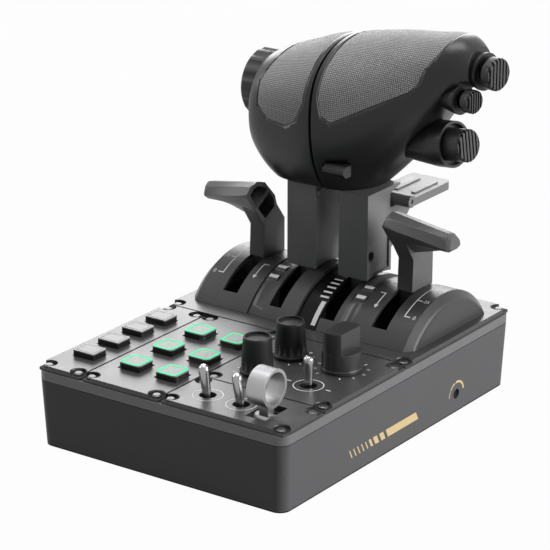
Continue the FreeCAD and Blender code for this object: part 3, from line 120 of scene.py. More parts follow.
class Wire:
    """A shader socket that adds maths nodes when it is used in an expression."""

    def __init__(self, shader, socket):
        self.shader = shader
        self.socket = socket

    def maths(self, operation, first, second):
        return self.shader.node("ShaderNodeMath", {"operation": operation}, {0: first, 1: second})

    def __add__(self, other):
        return self.maths("ADD", self, other)

    def __radd__(self, other):
        return self.maths("ADD", other, self)

    def __sub__(self, other):
        return self.maths("SUBTRACT", self, other)

    def __rsub__(self, other):
        return self.maths("SUBTRACT", other, self)

    def __mul__(self, other):
        return self.maths("MULTIPLY", self, other)

    def __truediv__(self, other):
        return self.maths("DIVIDE", self, other)

    def __gt__(self, other):
        return self.maths("GREATER_THAN", self, other)

    def __lt__(self, other):
        return self.maths("LESS_THAN", self, other)

    def fraction(self):
        return self.shader.node("ShaderNodeMath", {"operation": "FRACT"}, {0: self})


def rgba(value):
    """A wire as it is, or three channels with full opacity."""
    return value if isinstance(value, Wire) else (*value, 1.0)


class Shader:
    """The node tree of a material or a world, and the nodes that most finishes share."""

    def __init__(self, name, owner=None):
        self.material = owner or bpy.data.materials.new(name)
        self.material.use_nodes = True
        self.tree = self.material.node_tree
        self.tree.nodes.clear()

    def node(self, kind, settings=None, inputs=None, output=0):
        item = self.tree.nodes.new(kind)
        for key, value in (settings or {}).items():
            setattr(item, key, value)
        for key, value in (inputs or {}).items():
            if isinstance(value, Wire):
                self.tree.links.new(value.socket, item.inputs[key])
            else:
                item.inputs[key].default_value = value
        return Wire(self, item.outputs[output]) if item.outputs else None

    def place(self):
        return self.node("ShaderNodeTexCoord", output="Object")

    def axes(self):
        split = self.node("ShaderNodeSeparateXYZ", inputs={0: self.place()})
        outputs = split.socket.node.outputs
        return [Wire(self, outputs[index]) for index in range(3)]

    def noise(self, size, detail=2.0, roughness=0.5):
        """Noise whose features are about the given size in metres."""
        return self.node("ShaderNodeTexNoise", inputs={"Vector": self.place(), "Scale": 1.0 / size,
                                                       "Detail": detail, "Roughness": roughness})

    def tint(self, first, second, mask):
        """Mix of two colours, where sockets 6 and 7 are the mix node's colour inputs."""
        return self.node("ShaderNodeMix", {"data_type": "RGBA"},
                         {"Factor": mask, 6: rgba(first), 7: rgba(second)}, output=2)

    def blend(self, first, second, mask):
        return (1 - mask) * first + mask * second

    def seen_directly(self):
        """1 on rays that show the surface itself, 0 on rays that only gather light."""
        outputs = self.node("ShaderNodeLightPath").socket.node.outputs
        return sum((Wire(self, outputs[name]) for name in SEEN_RAYS), 0.0)

    def rounded(self, radius):
        return self.node("ShaderNodeBevel", {"samples": 4}, {"Radius": radius})

    def bump(self, height, distance, normal=None, strength=1.0):
        inputs = {"Height": height, "Distance": distance, "Strength": strength}
        if normal is not None:
            inputs["Normal"] = normal
        return self.node("ShaderNodeBump", inputs=inputs)

    def finish(self, **sockets):
        """Principled surface from socket names written with underscores."""
        inputs = {name.replace("_", " "): value for name, value in sockets.items()}
        inputs["Base Color"] = rgba(inputs["Base Color"])
        surface = self.node("ShaderNodeBsdfPrincipled", inputs=inputs)
        self.node("ShaderNodeOutputMaterial", inputs={"Surface": surface})
        return self.material


def shade(colour, factor):
    return tuple(min(1.0, channel * factor) for channel in colour)


def satin_coat(name, colour, roughness, grain=0.35 * MM, depth=0.012 * MM, level=0.35,
               edge=0.5 * MM):
    """Powder-like satin coat with a fine grain, faint cloudiness and softened edges."""
    shader = Shader(name)
    cloud = shader.noise(28 * MM, 3.0)
    fine = shader.noise(grain, 2.0)
    colour_out = shader.tint(shade(colour, 0.86), shade(colour, 1.16), cloud)
    rough = shader.blend(roughness - 0.05, roughness + 0.06, cloud) + (fine - 0.5) * 0.06
    normal = shader.bump(fine, depth, shader.rounded(edge))
    return shader.finish(Base_Color=colour_out, Roughness=rough, Normal=normal,
                         Specular_IOR_Level=level)


def panel_coat(name, colour, roughness, top, edge):
    """Satin coat of the panels, with a fine grain on top and matt screw notches whose floors get
    painted shade, a near-black colour.
    """
    shader = Shader(name)
    cloud = shader.noise(34 * MM, 3.0)
    fine = shader.noise(0.3 * MM, 2.0)
    pale = shader.tint(shade(colour, 0.9), shade(colour, 1.12), cloud)
    facing = shader.node("ShaderNodeNewGeometry", output="Normal")
    upward = shader.node("ShaderNodeSeparateXYZ", inputs={0: facing}, output="Z")
    notch_depth, level_enough = 0.7 * MM, 0.6
    # Painted shade: the flat floors of the screw notches are coloured near-black where the recess
    # is in shadow.
    notch_shade = (shader.axes()[2] < top - notch_depth) * (upward > level_enough)
    colour_out = shader.tint(pale, SHADOW_LINE, notch_shade)
    rough = shader.blend(shader.blend(roughness - 0.03, roughness + 0.05, cloud), 0.9, notch_shade)
    normal = shader.bump(fine, 0.008 * MM, shader.rounded(edge))
    return shader.finish(Base_Color=colour_out, Roughness=rough, Normal=normal,
                         Specular_IOR_Level=0.5)


def tray(name, colour, height):
    """Moulded tray wall with shadow lines along its bottom edge and under its frame."""
    shader = Shader(name)
    pits = shader.noise(0.8 * MM, 4.0, 0.65)
    cloud = shader.noise(45 * MM, 2.0)
    level = shader.axes()[2]
    pale = shader.tint(shade(colour, 0.9), shade(colour, 1.1), (pits + cloud) * 0.5)
    top_line, bottom_line = 0.45 * MM, 0.9 * MM
    lines = (level > height - top_line) + (level < bottom_line)
    colour_out = shader.tint(pale, SHADOW_LINE, lines)
    normal = shader.bump(pits, 0.02 * MM, shader.rounded(0.8 * MM))
    rough = shader.blend(0.55, 0.45, pits)
    return shader.finish(Base_Color=colour_out, Roughness=rough, Normal=normal,
                         Specular_IOR_Level=0.15)


def moulded(name, colour, roughness=0.55, grain=0.9 * MM, depth=0.03 * MM, level=0.3,
            edge=0.6 * MM):
    """Moulded plastic with an eroded texture and slightly polished high spots."""
    shader = Shader(name)
    pits = shader.noise(grain, 4.0, 0.65)
    cloud = shader.noise(45 * MM, 2.0)
    colour_out = shader.tint(shade(colour, 0.8), shade(colour, 1.2), (pits + cloud) * 0.5)
    rough = shader.blend(roughness + 0.08, roughness - 0.06, pits)
    normal = shader.bump(pits, depth, shader.rounded(edge))
    return shader.finish(Base_Color=colour_out, Roughness=rough, Normal=normal,
                         Specular_IOR_Level=level)


def polished(name, colour, roughness=0.12, level=0.5, edge=0.3 * MM):
    """Glossy moulding with faint handling marks."""
    shader = Shader(name)
    marks = shader.noise(14 * MM, 5.0, 0.7)
    rough = shader.blend(roughness, roughness + 0.12, marks)
    return shader.finish(Base_Color=colour, Roughness=rough, Normal=shader.rounded(edge),
                         Specular_IOR_Level=level)


def metal(name, colour, roughness, scratch=2.0 * MM, edge=0.25 * MM):
    """Bare metal with fine directional wear."""
    shader = Shader(name)
    streaks = shader.noise(scratch, 6.0, 0.7)
    colour_out = shader.tint(shade(colour, 0.85), shade(colour, 1.08), streaks)
    rough = shader.blend(roughness - 0.04, roughness + 0.10, streaks)
    normal = shader.bump(streaks, 0.01 * MM, shader.rounded(edge))
    return shader.finish(Base_Color=colour_out, Metallic=1.0, Roughness=rough, Normal=normal)


def keycap(name, face):
    """Dark key with a painted highlight: its top face is painted paler than its dark sides, with a
    fine moulded grain.
    """
    shader = Shader(name)
    height = shader.axes()[2]
    grain = shader.noise(0.5 * MM, 3.0)
    worn = shader.noise(9 * MM, 2.0)
    pale = shader.tint(shade(face, 0.88), shade(face, 1.1), worn)
    # Painted highlight: the top face above the level is coloured paler than the sides.
    colour = shader.tint(KEY_SIDE, pale, height > KEY_PAINTED_HIGHLIGHT_LEVEL)
    normal = shader.bump(grain, 0.01 * MM, shader.rounded(0.5 * MM))
    return shader.finish(Base_Color=colour, Roughness=shader.blend(0.45, 0.4, worn), Normal=normal,
                         Specular_IOR_Level=0.2)


def dotted_rubber(name, colour, pitch):
    """Grip rubber with rows of small raised dots that wrap over the crown, with painted shade in
    the gaps between the dots.
    """
    shader = Shader(name)
    x, y, z = shader.axes()
    grip_row, grip_height, grip_radius = 84 * MM, 192 * MM, 48 * MM
    angle = shader.node("ShaderNodeMath", {"operation": "ARCTAN2"},
                        {0: z - grip_height, 1: y - grip_row})
    across = (x / pitch).fraction() - 0.5
    round_grip = (angle * (grip_radius / pitch)).fraction() - 0.5
    radius = shader.node("ShaderNodeMath", {"operation": "SQRT"},
                         {0: across * across + round_grip * round_grip})
    dot = shader.node("ShaderNodeMapRange", {"interpolation_type": "SMOOTHSTEP"},
                      {"Value": radius, "From Min": 0.40, "From Max": 0.22,
                       "To Min": 0.0, "To Max": 1.0})
    cloud = shader.noise(20 * MM, 2.0)
    # Painted shade: the colour darkens in the gaps between the raised dots and pales on the dots.
    dots_and_painted_shade = shader.tint(shade(colour, 0.35), shade(colour, 1.3), dot * 0.85 + cloud * 0.15)
    normal = shader.bump(dot, 0.22 * MM)
    rough = shader.blend(0.75, 0.5, dot)
    return shader.finish(Base_Color=dots_and_painted_shade, Roughness=rough, Normal=normal,
                         Specular_IOR_Level=0.4)


def print_ink(name, colour, roughness=0.5, glow=0.0):
    """Printed ink with slightly uneven coverage."""
    shader = Shader(name)
    cover = shader.noise(0.8 * MM, 3.0)
    mixed = shader.tint(shade(colour, 0.82), colour, cover)
    sockets = {"Base_Color": mixed, "Roughness": roughness, "Specular_IOR_Level": 0.12}
    if glow:
        sockets["Emission_Color"] = mixed
        sockets["Emission_Strength"] = glow
    return shader.finish(**sockets)


MATERIALS = {}


def make_materials(colours, sizes):
    """Every finish, by the record's slot name or by the name of its print."""
    edge = sizes.edge
    housing_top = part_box("lower_housing")[1][2]
    panel_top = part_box("knob_panel")[1][2]
    finishes = (
        (tray, "housing_plastic", tuple(colours.housing), housing_top),
        (satin_coat, "frame_metal", shade(colours.housing, 1.15), 0.42,
         {"level": 0.7, "edge": edge * 1.2}),
        (panel_coat, "panel_metal", tuple(colours.panel), 0.36, panel_top, edge),
        (metal, "screw_steel", (0.10, 0.10, 0.105), 0.35),
        (moulded, "rubber", (0.02, 0.02, 0.02), 0.8),
        (polished, "board_green", (0.02, 0.13, 0.06), 0.3),
        (moulded, "switch_black", (0.02, 0.02, 0.02), 0.5),
        # The pale colours of the two key finishes are their painted top-face highlight.
        (keycap, "button_black", (0.27, 0.27, 0.27)),
        (keycap, "button_green", (0.24, 0.24, 0.24)),
        (metal, "chrome", (0.33, 0.33, 0.335), 0.19, 6 * MM),
        (metal, "ring_metal", (0.36, 0.36, 0.365), 0.36, 0.6 * MM),
        (satin_coat, "knob_plastic", (0.016, 0.016, 0.017), 0.38, {"level": 0.16, "edge": edge}),
        (satin_coat, "selector_plastic", (0.020, 0.020, 0.021), 0.34,
         {"level": 0.45, "edge": edge}),
        (satin_coat, "cover_metal", tuple(colours.cover), 0.36, {"level": 0.3, "edge": edge}),
        (polished, "strip_gloss", (0.006, 0.006, 0.007), 0.14, {"level": 0.12}),
        (metal, "shaft_steel", (0.5, 0.5, 0.51), 0.25),
        (metal, "bracket_metal", (0.6, 0.6, 0.61), 0.4),
        (satin_coat, "lever_metal", (0.080, 0.080, 0.082), 0.40, {"level": 0.3, "edge": edge}),
        (satin_coat, "arm_metal", tuple(colours.arm), 0.42, 0.5 * MM, 0.02 * MM, {"edge": edge}),
        (satin_coat, "grip_plastic", tuple(colours.grip), 0.34, 0.4 * MM, 0.01 * MM,
         {"level": 0.32, "edge": edge}),
        (dotted_rubber, "grip_rubber", tuple(colours.rubber), sizes.dot_pitch),
        (moulded, "hat_plastic", (0.035, 0.035, 0.035), 0.42, 0.5 * MM, 0.01 * MM,
         {"edge": edge}),
        (print_ink, "white_print", (0.75, 0.75, 0.75)),
        (print_ink, "gold_print", tuple(colours.gold), 0.35),
        (print_ink, "green_rim", tuple(colours.green), 0.6, 0.12),
        # Near-black colour of the painted shade line round the edge of each black key top.
        (print_ink, "ink_dark", (0.01, 0.02, 0.015)),
    )
    for kind, name, *values in finishes:
        named = values.pop() if isinstance(values[-1], dict) else {}
        MATERIALS[name] = kind(name, *values, **named)


# ------------------------------------------------------------------ mesh helpers


def cad_slot(node):
    """The record's slot of a CAD node."""
    for part in frame["record"]["subparts"]:
        if part["node"] == node:
            return part["material_slot"]
    raise RuntimeError(f"no slot for {node}")


def cad_body(node):
    """The body that carries a CAD node."""
    for body, nodes in frame["record"]["behaviour"]["bodies"].items():
        if node in nodes:
            return body
    raise RuntimeError(f"no body for {node}")


def joint_place(joint):
    """Where a joint of the record stands at rest."""
    for item in frame["record"]["behaviour"]["joints"]:
        if item["name"] == joint:
            return item["pos_m"]
    raise RuntimeError(f"no joint {joint}")


def baked_mesh(holder):
    """The plain mesh an object evaluates to; the object is removed."""
    bpy.context.scene.collection.objects.link(holder)
    evaluated = holder.evaluated_get(bpy.context.evaluated_depsgraph_get())
    mesh = bpy.data.meshes.new_from_object(evaluated)
    bpy.data.objects.remove(holder)
    return mesh


def add_piece(name, mesh, body, slot, material=None):
    """Link a mesh as a piece that rides on a body; without a material it takes its slot's."""
    piece = bpy.data.objects.new(name, mesh)
    bpy.context.scene.collection.objects.link(piece)
    mesh.materials.clear()
    mesh.materials.append(MATERIALS[material or slot])
    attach(piece, body)
    return piece


def with_flat_faces(mesh):
    """The mesh with normals weighted by area, so flat faces stay flat beside their fillets."""
    holder = bpy.data.objects.new(mesh.name, mesh)
    weighting = holder.modifiers.new("flat_faces", "WEIGHTED_NORMAL")
    weighting.mode = "FACE_AREA_WITH_ANGLE"
    weighting.weight = 75
    weighting.keep_sharp = True
    return baked_mesh(holder)


def smooth_copy(node, material=None):
    """Stand a welded, smooth-shaded copy in for a CAD node."""
    weld_distance, flat_angle, sharp_angle = 0.002 * MM, math.radians(0.08), math.radians(32.0)
    mesh = frame["nodes"][node].data.copy()
    weld = bmesh.new()
    weld.from_mesh(mesh)
    bmesh.ops.remove_doubles(weld, verts=weld.verts, dist=weld_distance)
    bmesh.ops.dissolve_limit(weld, angle_limit=flat_angle, verts=weld.verts, edges=weld.edges)
    weld.to_mesh(mesh)
    weld.free()
    mesh.shade_smooth()
    mesh.set_sharp_from_angle(angle=sharp_angle)
    mesh = with_flat_faces(mesh)
    piece = add_piece(f"{node}_skin", mesh, cad_body(node), cad_slot(node), material)
    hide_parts(node)
    return piece


def mesh_from(name, points, faces):
    mesh = bpy.data.meshes.new(name)
    mesh.from_pydata([tuple(point) for point in points], [], faces)
    mesh.update()
    return mesh


class FlatDrawing:
    """Thin prints drawn in a plane or on an arch, gathered into one mesh."""

    def __init__(self):
        self.points = []
        self.faces = []

    def quad(self, corners):
        first = len(self.points)
        self.points += corners
        self.faces.append(tuple(range(first, first + len(corners))))

    def mesh(self, name):
        return mesh_from(name, self.points, self.faces)


PIVOT_ROW, PIVOT_HEIGHT = joint_place("left_throttle_swing")[1:]
ARCH_RADIUS = 60.0 * MM
ARCH_STEP = 3


def arch_point(x, radius, angle):
    """A point over the shared pivot shaft, at an angle in degrees from upright."""
    turn = math.radians(angle)
    return (x, PIVOT_ROW + radius * math.sin(turn), PIVOT_HEIGHT + radius * math.cos(turn))


def arch_patch(drawing, x_from, x_to, low, high, radius=ARCH_RADIUS):
    """A printed rectangle on the arch, in steps that follow the curve."""
    x_low, x_high = sorted((x_from, x_to))
    steps = max(1, int(abs(high - low) / ARCH_STEP))
    level = radius + PRINT_LIFT
    for step in range(steps):
        start = low + (high - low) * step / steps
        end = low + (high - low) * (step + 1) / steps
        drawing.quad([arch_point(x_low, level, start), arch_point(x_high, level, start),
                      arch_point(x_high, level, end), arch_point(x_low, level, end)])


# ------------------------------------------------------------------ operators


class QuadrantStage(bpy.types.Operator):
    """Make the floor, the lamps, the world and the camera"""

    bl_idname = "quadrant.stage"
    bl_label = "Stage"

    def execute(self, context):
        self.floor()
        self.world(context.scene)
        self.lamps()
        self.camera(context.scene)
        context.scene.view_settings.view_transform = "Standard"
        return {"FINISHED"}

    def floor(self):
        low = CAD_BOUNDS[0][2]
        half, white_share = 6.0, 0.975
        mesh = mesh_from("floor", [(-half, -half, low), (half, -half, low), (half, half, low),
                                   (-half, half, low)], [(0, 1, 2, 3)])
        shader = Shader("floor")
        seen = shader.seen_directly()
        diffuse = shader.node("ShaderNodeBsdfDiffuse", inputs={"Color": (0.24, 0.24, 0.24, 1.0)})
        white = shader.node("ShaderNodeEmission", inputs={"Color": (1, 1, 1, 1), "Strength": 1.0})
        mixed = shader.node("ShaderNodeMixShader",
                            inputs={0: seen * white_share, 1: diffuse, 2: white})
        shader.node("ShaderNodeOutputMaterial", inputs={"Surface": mixed})
        mesh.materials.append(shader.material)
        floor = bpy.data.objects.new("floor", mesh)
        bpy.context.scene.collection.objects.link(floor)

    def world(self, scene):
        world = bpy.data.worlds.new("studio")
        shader = Shader("studio", world)
        seen = shader.seen_directly()
        soft, white = (shader.node("ShaderNodeBackground",
                                   inputs={"Color": (1, 1, 1, 1), "Strength": strength})
                       for strength in (0.07, 1.0))
        mixed = shader.node("ShaderNodeMixShader", inputs={0: seen, 1: soft, 2: white})
        shader.node("ShaderNodeOutputWorld", inputs={"Surface": mixed})
        scene.world = world

    def area(self, name, place, target, size, power):
        """A rectangular lamp at a place, facing a target, with its power in watts."""
        light = bpy.data.lights.new(name, "AREA")
        light.shape = "RECTANGLE"
        light.size, light.size_y = size
        light.energy = power
        lamp = bpy.data.objects.new(name, light)
        lamp.location = place
        aim = Vector(target) - Vector(place)
        lamp.rotation_euler = aim.to_track_quat("-Z", "Y").to_euler()
        bpy.context.scene.collection.objects.link(lamp)

    def lamps(self):
        for lamp in (("right_panel", (1.5, 0.35, 0.55), (0, 0, 0.08), (1.2, 1.0), 36.0),
                     ("back_left_panel", (-0.95, 1.25, 0.62), (-0.06, -0.04, 0.06),
                      (1.1, 0.75), 14.0),
                     ("left_panel", (-1.4, -0.25, 0.85), (0, 0, 0.12), (0.7, 0.9), 8.0),
                     ("top_panel", (-0.1, 0.1, 1.5), (0, 0, 0.1), (1.0, 0.8), 18.0)):
            self.area(*lamp)

    def camera(self, scene):
        azimuth, elevation, roll = (math.radians(value) for value in (35.28, 19.85, 0.065))
        target, distance = Vector((0, 0, 0.09)), 1.7152
        shift_right, shift_up = -0.003383, 0.00472
        right = Vector((math.cos(azimuth), math.sin(azimuth), 0))
        forward = Vector((-math.sin(azimuth) * math.cos(elevation),
                          math.cos(azimuth) * math.cos(elevation), -math.sin(elevation)))
        up = right.cross(forward)
        place = target - forward * distance + right * shift_right + up * shift_up
        data = bpy.data.cameras.new("camera")
        data.lens = 175.1
        data.sensor_width = 36.0
        data.clip_end = 50.0
        camera = bpy.data.objects.new("camera", data)
        basis = Matrix((right, up, -forward)).transposed().to_4x4()
        camera.matrix_world = Matrix.Translation(place) @ basis @ Matrix.Rotation(roll, 4, "Z")
        scene.collection.objects.link(camera)
        scene.camera = camera


class QuadrantSkins(bpy.types.Operator):
    """Give every rigid piece its finish and smooth shading"""

    bl_idname = "quadrant.skins"
    bl_label = "Finishes"

    def execute(self, context):
        make_materials(context.scene.quadrant_colours, context.scene.quadrant_sizes)
        for name in list(frame["nodes"]):
            smooth_copy(name, material="selector_plastic" if name == "selector_knob" else None)
        return {"FINISHED"}


def text_points(text, size):
    """Outline faces of a short line of digits, centred on its own origin."""
    curve = bpy.data.curves.new("digits", "FONT")
    curve.body = text
    curve.size = size
    curve.align_x = "CENTER"
    curve.align_y = "CENTER"
    mesh = baked_mesh(bpy.data.objects.new("digits", curve))
    points = [vertex.co.copy() for vertex in mesh.vertices]
    faces = [tuple(face.vertices) for face in mesh.polygons]
    bpy.data.curves.remove(curve)
    bpy.data.meshes.remove(mesh)
    return points, faces


def draw_text(drawing, text, size, placed):
    """Add a line of digits; placed turns a point of the text into a point of the object."""
    points, faces = text_points(text, size)
    first = len(drawing.points)
    drawing.points += [placed(point.x, point.y) for point in points]
    drawing.faces += [tuple(first + index for index in face) for face in faces]


def rounded_square(half_x, half_y, radius, steps=5):
    """Corner points of a rounded rectangle about the origin."""
    points = []
    for corner, (sign_x, sign_y) in enumerate(((1, 1), (-1, 1), (-1, -1), (1, -1))):
        for step in range(steps + 1):
            angle = math.pi / 2 * (corner + step / steps)
            points.append((sign_x * (half_x - radius) + radius * math.cos(angle),
                           sign_y * (half_y - radius) + radius * math.sin(angle)))
    return points


def draw_band(drawing, outer, inner, placed):
    """The band between two outlines with as many points."""
    count = len(outer)
    first = len(drawing.points)
    drawing.points += [placed(*point) for point in outer] + [placed(*point) for point in inner]
    for index in range(count):
        following = (index + 1) % count
        drawing.faces.append((first + index, first + following, first + count + following,
                              first + count + index))


def circle_points(radius, count=48):
    turns = [2 * math.pi * step / count for step in range(count)]
    return [(radius * math.cos(turn), radius * math.sin(turn)) for turn in turns]


def on_level(x, y, level):
    """A function that turns a point about (x, y) into a point at a level."""
    def placed(u, v):
        return (x + u, y + v, level)

    return placed


def dash_tree():
    """Geometry nodes: short dashes spaced round an arc, pointing outwards."""
    tree = bpy.data.node_groups.new("arc_dashes", "GeometryNodeTree")
    interface = tree.interface
    interface.new_socket("Geometry", in_out="INPUT", socket_type="NodeSocketGeometry")
    for name, kind in (("Count", "NodeSocketInt"), ("Radius", "NodeSocketFloat"),
                       ("Start", "NodeSocketFloat"), ("Sweep", "NodeSocketFloat"),
                       ("Length", "NodeSocketFloat"), ("Width", "NodeSocketFloat"),
                       ("Material", "NodeSocketMaterial")):
        interface.new_socket(name, in_out="INPUT", socket_type=kind)
    interface.new_socket("Geometry", in_out="OUTPUT", socket_type="NodeSocketGeometry")
    nodes, links = tree.nodes, tree.links
    source = nodes.new("NodeGroupInput").outputs
    arc = nodes.new("GeometryNodeCurveArc")
    arc.inputs["Resolution"].default_value = 64
    resample = nodes.new("GeometryNodeCurveToPoints")
    grid = nodes.new("GeometryNodeMeshGrid")
    grid.inputs["Vertices X"].default_value = 2
    grid.inputs["Vertices Y"].default_value = 2
    spread = nodes.new("GeometryNodeInstanceOnPoints")
    real = nodes.new("GeometryNodeRealizeInstances")
    finish = nodes.new("GeometryNodeSetMaterial")
    result = nodes.new("NodeGroupOutput")
    for output, target in ((source["Radius"], arc.inputs["Radius"]),
                           (source["Start"], arc.inputs["Start Angle"]),
                           (source["Sweep"], arc.inputs["Sweep Angle"]),
                           (arc.outputs["Curve"], resample.inputs["Curve"]),
                           (source["Count"], resample.inputs["Count"]),
                           (source["Length"], grid.inputs["Size Y"]),
                           (source["Width"], grid.inputs["Size X"]),
                           (resample.outputs["Points"], spread.inputs["Points"]),
                           (grid.outputs["Mesh"], spread.inputs["Instance"]),
                           (spread.outputs["Instances"], real.inputs["Geometry"]),
                           (real.outputs["Geometry"], finish.inputs["Geometry"]),
                           (source["Material"], finish.inputs["Material"]),
                           (finish.outputs["Geometry"], result.inputs["Geometry"])):
        links.new(output, target)
    position = nodes.new("GeometryNodeInputPosition")
    align = nodes.new("FunctionNodeAlignRotationToVector")
    align.axis = "Y"
    align.pivot_axis = "Z"
    links.new(position.outputs["Position"], align.inputs["Vector"])
    links.new(align.outputs["Rotation"], spread.inputs["Rotation"])
    return tree


def baked_dashes(tree, name, place, values):
    """Run the dash tree and return its plain mesh, moved to its place."""
    holder = bpy.data.objects.new(name, bpy.data.meshes.new(name))
    modifier = holder.modifiers.new(name, "NODES")
    modifier.node_group = tree
    for item in tree.interface.items_tree:
        if item.in_out == "INPUT" and item.name in values:
            modifier[item.identifier] = values[item.name]
    mesh = baked_mesh(holder)
    mesh.transform(Matrix.Translation(place))
    return mesh


class QuadrantPrints(bpy.types.Operator):
    """Print the rings, dashes, scales and gold bars"""

    bl_idname = "quadrant.prints"
    bl_label = "Prints"

    def execute(self, context):
        sizes = context.scene.quadrant_sizes
        self.line = sizes.line
        self.panel_prints(sizes.dashes)
        self.cover_prints()
        self.gold_bars()
        self.button_faces()
        return {"FINISHED"}

    def panel_prints(self, count):
        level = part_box("knob_panel")[1][2] + PRINT_LIFT
        drawing = FlatDrawing()
        ring_radius, half_line = 9.5 * MM, self.line * 0.4
        toggles = [joint_place(f"toggle_{number}_throw") for number in (1, 2, 3)]
        for x, y, _ in toggles:
            draw_band(drawing, circle_points(ring_radius + half_line),
                      circle_points(ring_radius - half_line), on_level(x, y, level))
        mark_offset, mark_half_length, mark_half_width = 14.5 * MM, 1.8 * MM, 0.4 * MM
        x, y, _ = toggles[-1]
        for side in (-1, 1):
            placed = on_level(x + side * mark_offset, y, level)
            drawing.quad([placed(u * mark_half_length, v * mark_half_width)
                          for u, v in ((-1, -1), (1, -1), (1, 1), (-1, 1))])
        add_piece("panel_rings", drawing.mesh("panel_rings"), "base", "panel_metal", "white_print")
        tree = dash_tree()
        dials = (("knob_1_turn", 14.2), ("knob_2_turn", 14.2), ("selector_turn", 16.8))
        for number, (joint, radius) in enumerate(dials):
            x, y, _ = joint_place(joint)
            mesh = baked_dashes(tree, f"knob_dashes_{number}", (x, y, level),
                                {"Count": count, "Radius": radius * MM,
                                 "Start": math.radians(-60), "Sweep": math.radians(300),
                                 "Length": 2.2 * MM, "Width": self.line,
                                 "Material": MATERIALS["white_print"]})
            add_piece(f"knob_dashes_{number}", mesh, "base", "panel_metal", "white_print")

    def cover_prints(self):
        """Scales, arrows and index marks of the covers; angles in degrees, front negative."""
        drawing = FlatDrawing()
        line = self.line / 2
        tick_half_angle = self.line * 1.2 / ARCH_RADIUS * 90 / math.pi
        for side in (-1, 1):
            scale, arrow, inward = side * 72.0 * MM, side * 48.2 * MM, side * -4.0 * MM
            arch_patch(drawing, scale - line, scale + line, -31.5, 20.0)
            for number, angle in enumerate((-31.0, -15.5, 0.0, 15.5)):
                arch_patch(drawing, scale, scale - inward, angle - tick_half_angle,
                           angle + tick_half_angle)
                self.arch_text(drawing, str(number * 25), side * 79.0 * MM, angle)
            arch_patch(drawing, arrow - line, arrow + line, -27.5, -15.6)
            arch_patch(drawing, arrow, arrow + inward, -16.2, -15.6)
            self.arrow_head(drawing, arrow, -28.5)
            arch_patch(drawing, arrow, arrow + inward, -2.5, -1.9)
        strip, half_bar, half_rung = 11.8 * MM, 1.7 * MM, 0.7
        arch_patch(drawing, strip - half_bar, strip + half_bar, -52.0, -34.5)
        for angle in (-31.0, -26.8, -22.4, -18.2, -14.0):
            arch_patch(drawing, 6.8 * MM, 13.4 * MM, angle - half_rung, angle + half_rung)
        add_piece("cover_scales", drawing.mesh("cover_scales"), "base", "cover_metal",
                  "white_print")
        tops = FlatDrawing()
        detent, half_detent, detent_radius = 34.55 * MM, 3.4 * MM, 60.3 * MM
        for side in (-1, 1):
            for angle in (-25.0, -15.0):
                arch_patch(tops, side * detent - half_detent, side * detent + half_detent,
                           angle - 0.9, angle + 1.9, detent_radius)
        add_piece("detent_marks", tops.mesh("detent_marks"), "base", "cover_metal", "white_print")

    def arch_text(self, drawing, text, x, angle):
        level = ARCH_RADIUS + PRINT_LIFT

        def placed(u, v):
            return arch_point(x + u, level, angle + math.degrees(v / level))

        draw_text(drawing, text, 4.2 * MM, placed)

    def arrow_head(self, drawing, x, angle):
        level = ARCH_RADIUS + PRINT_LIFT
        half_width, tip, tail = 1.7 * MM, angle - 1.6, angle + 1.2
        drawing.quad([arch_point(x, level, tip), arch_point(x + half_width, level, tail),
                      arch_point(x - half_width, level, tail)])

    def gold_bars(self):
        """Slanted bars and the arc round the friction screw, in millimetres on the right wall."""
        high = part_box("lower_housing")[1]
        tilt, clear_of_wall = 1.8 / 44.6, 0.08 * MM

        def on_wall(y, z):
            return (high[0] - tilt * (high[2] - z * MM) + clear_of_wall, y * MM, z * MM)

        drawing = FlatDrawing()
        bottom, top, slant = 11.3, 17.0, 3.3
        bars = [(-18.6, 35.2), (-26.0, 4.4), (-33.1, 4.4), (-38.0, 2.5)]
        bars += [(-42.1 - 4.4 * step, 1.1) for step in range(5)]
        for start, width in bars:
            drawing.quad([on_wall(start + slant, bottom), on_wall(start + slant + width, bottom),
                          on_wall(start + width, top), on_wall(start, top)])
        centre, radius = Vector((66.0, 13.0)), 8.6
        for low_angle, high_angle, width in ((10, 100, 1.5), (106, 150, 1.1), (154, 184, 0.8)):
            self.wall_arc(drawing, on_wall, centre, radius, low_angle, high_angle, width)
        add_piece("gold_bars", drawing.mesh("gold_bars"), "base", "housing_plastic", "gold_print")

    def wall_arc(self, drawing, on_wall, centre, radius, low, high, width):
        steps = 12
        for step in range(steps):
            ends = [math.radians(low + (high - low) * (step + share) / steps) for share in (0, 1)]
            corners = []
            for angle, reach in ((ends[0], radius - width / 2), (ends[1], radius - width / 2),
                                 (ends[1], radius + width / 2), (ends[0], radius + width / 2)):
                corners.append(on_wall(centre.x + reach * math.cos(angle),
                                       centre.y + reach * math.sin(angle)))
            drawing.quad(corners)

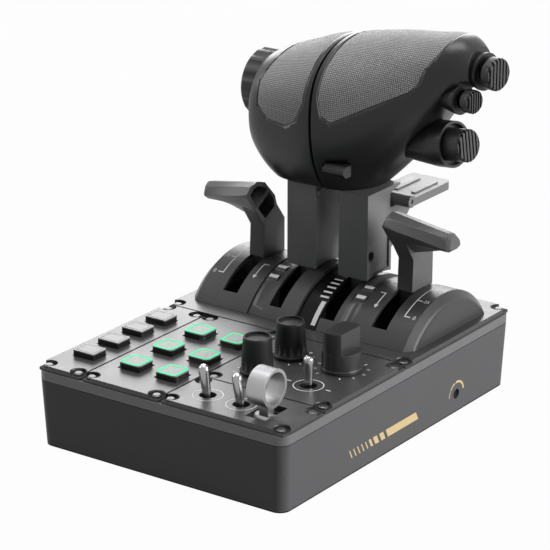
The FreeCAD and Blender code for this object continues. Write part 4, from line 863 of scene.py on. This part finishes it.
    def on_key(self, key):
        """A function that places a print just above a button's top face."""
        x, y, _ = joint_place(f"{key}_press")
        return on_level(x, y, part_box(key)[1][2] + 0.05 * MM)

    def button_faces(self):
        for number in range(1, 7):
            key = f"green_button_{number}"
            placed = self.on_key(key)
            drawing = FlatDrawing()
            draw_band(drawing, rounded_square(7.75 * MM, 7.75 * MM, 2.9 * MM),
                      rounded_square(6.15 * MM, 6.15 * MM, 1.5 * MM), placed)
            draw_text(drawing, str(number), 4.4 * MM, placed)
            add_piece(f"green_rim_{number}", drawing.mesh(f"green_rim_{number}"),
                      cad_body(key), "button_green", "green_rim")
        for number in range(1, 5):
            # A painted shade line: a thin dark band just inside the edge of the key top.
            key = f"black_button_{number}"
            drawing = FlatDrawing()
            draw_band(drawing, rounded_square(6.9 * MM, 5.4 * MM, 0.8 * MM),
                      rounded_square(6.6 * MM, 5.1 * MM, 0.6 * MM), self.on_key(key))
            add_piece(f"key_shade_line_{number}", drawing.mesh(f"key_shade_line_{number}"),
                      cad_body(key), "button_black", "ink_dark")


class QuadrantPanel(bpy.types.Panel):
    """Sidebar panel that lists the steps"""

    bl_idname = "VIEW3D_PT_quadrant"
    bl_label = "Throttle quadrant"
    bl_space_type = "VIEW_3D"
    bl_region_type = "UI"
    bl_category = "Quadrant"

    def draw(self, context):
        for group in (context.scene.quadrant_colours, context.scene.quadrant_sizes):
            for name in group.__annotations__:
                self.layout.prop(group, name)
        for step in STEPS:
            self.layout.operator(step.bl_idname)


STEPS = (QuadrantStage, QuadrantSkins, QuadrantPrints)
CLASSES = (QuadrantColours, QuadrantSizes) + STEPS + (QuadrantPanel,)


def register():
    for item in CLASSES:
        bpy.utils.register_class(item)
    bpy.types.Scene.quadrant_colours = PointerProperty(type=QuadrantColours)
    bpy.types.Scene.quadrant_sizes = PointerProperty(type=QuadrantSizes)


def unregister():
    del bpy.types.Scene.quadrant_sizes
    del bpy.types.Scene.quadrant_colours
    for item in reversed(CLASSES):
        bpy.utils.unregister_class(item)


def main():
    register()
    for step in STEPS:
        family, name = step.bl_idname.split(".")
        getattr(getattr(bpy.ops, family), name)()


if __name__ == "__main__":
    main()
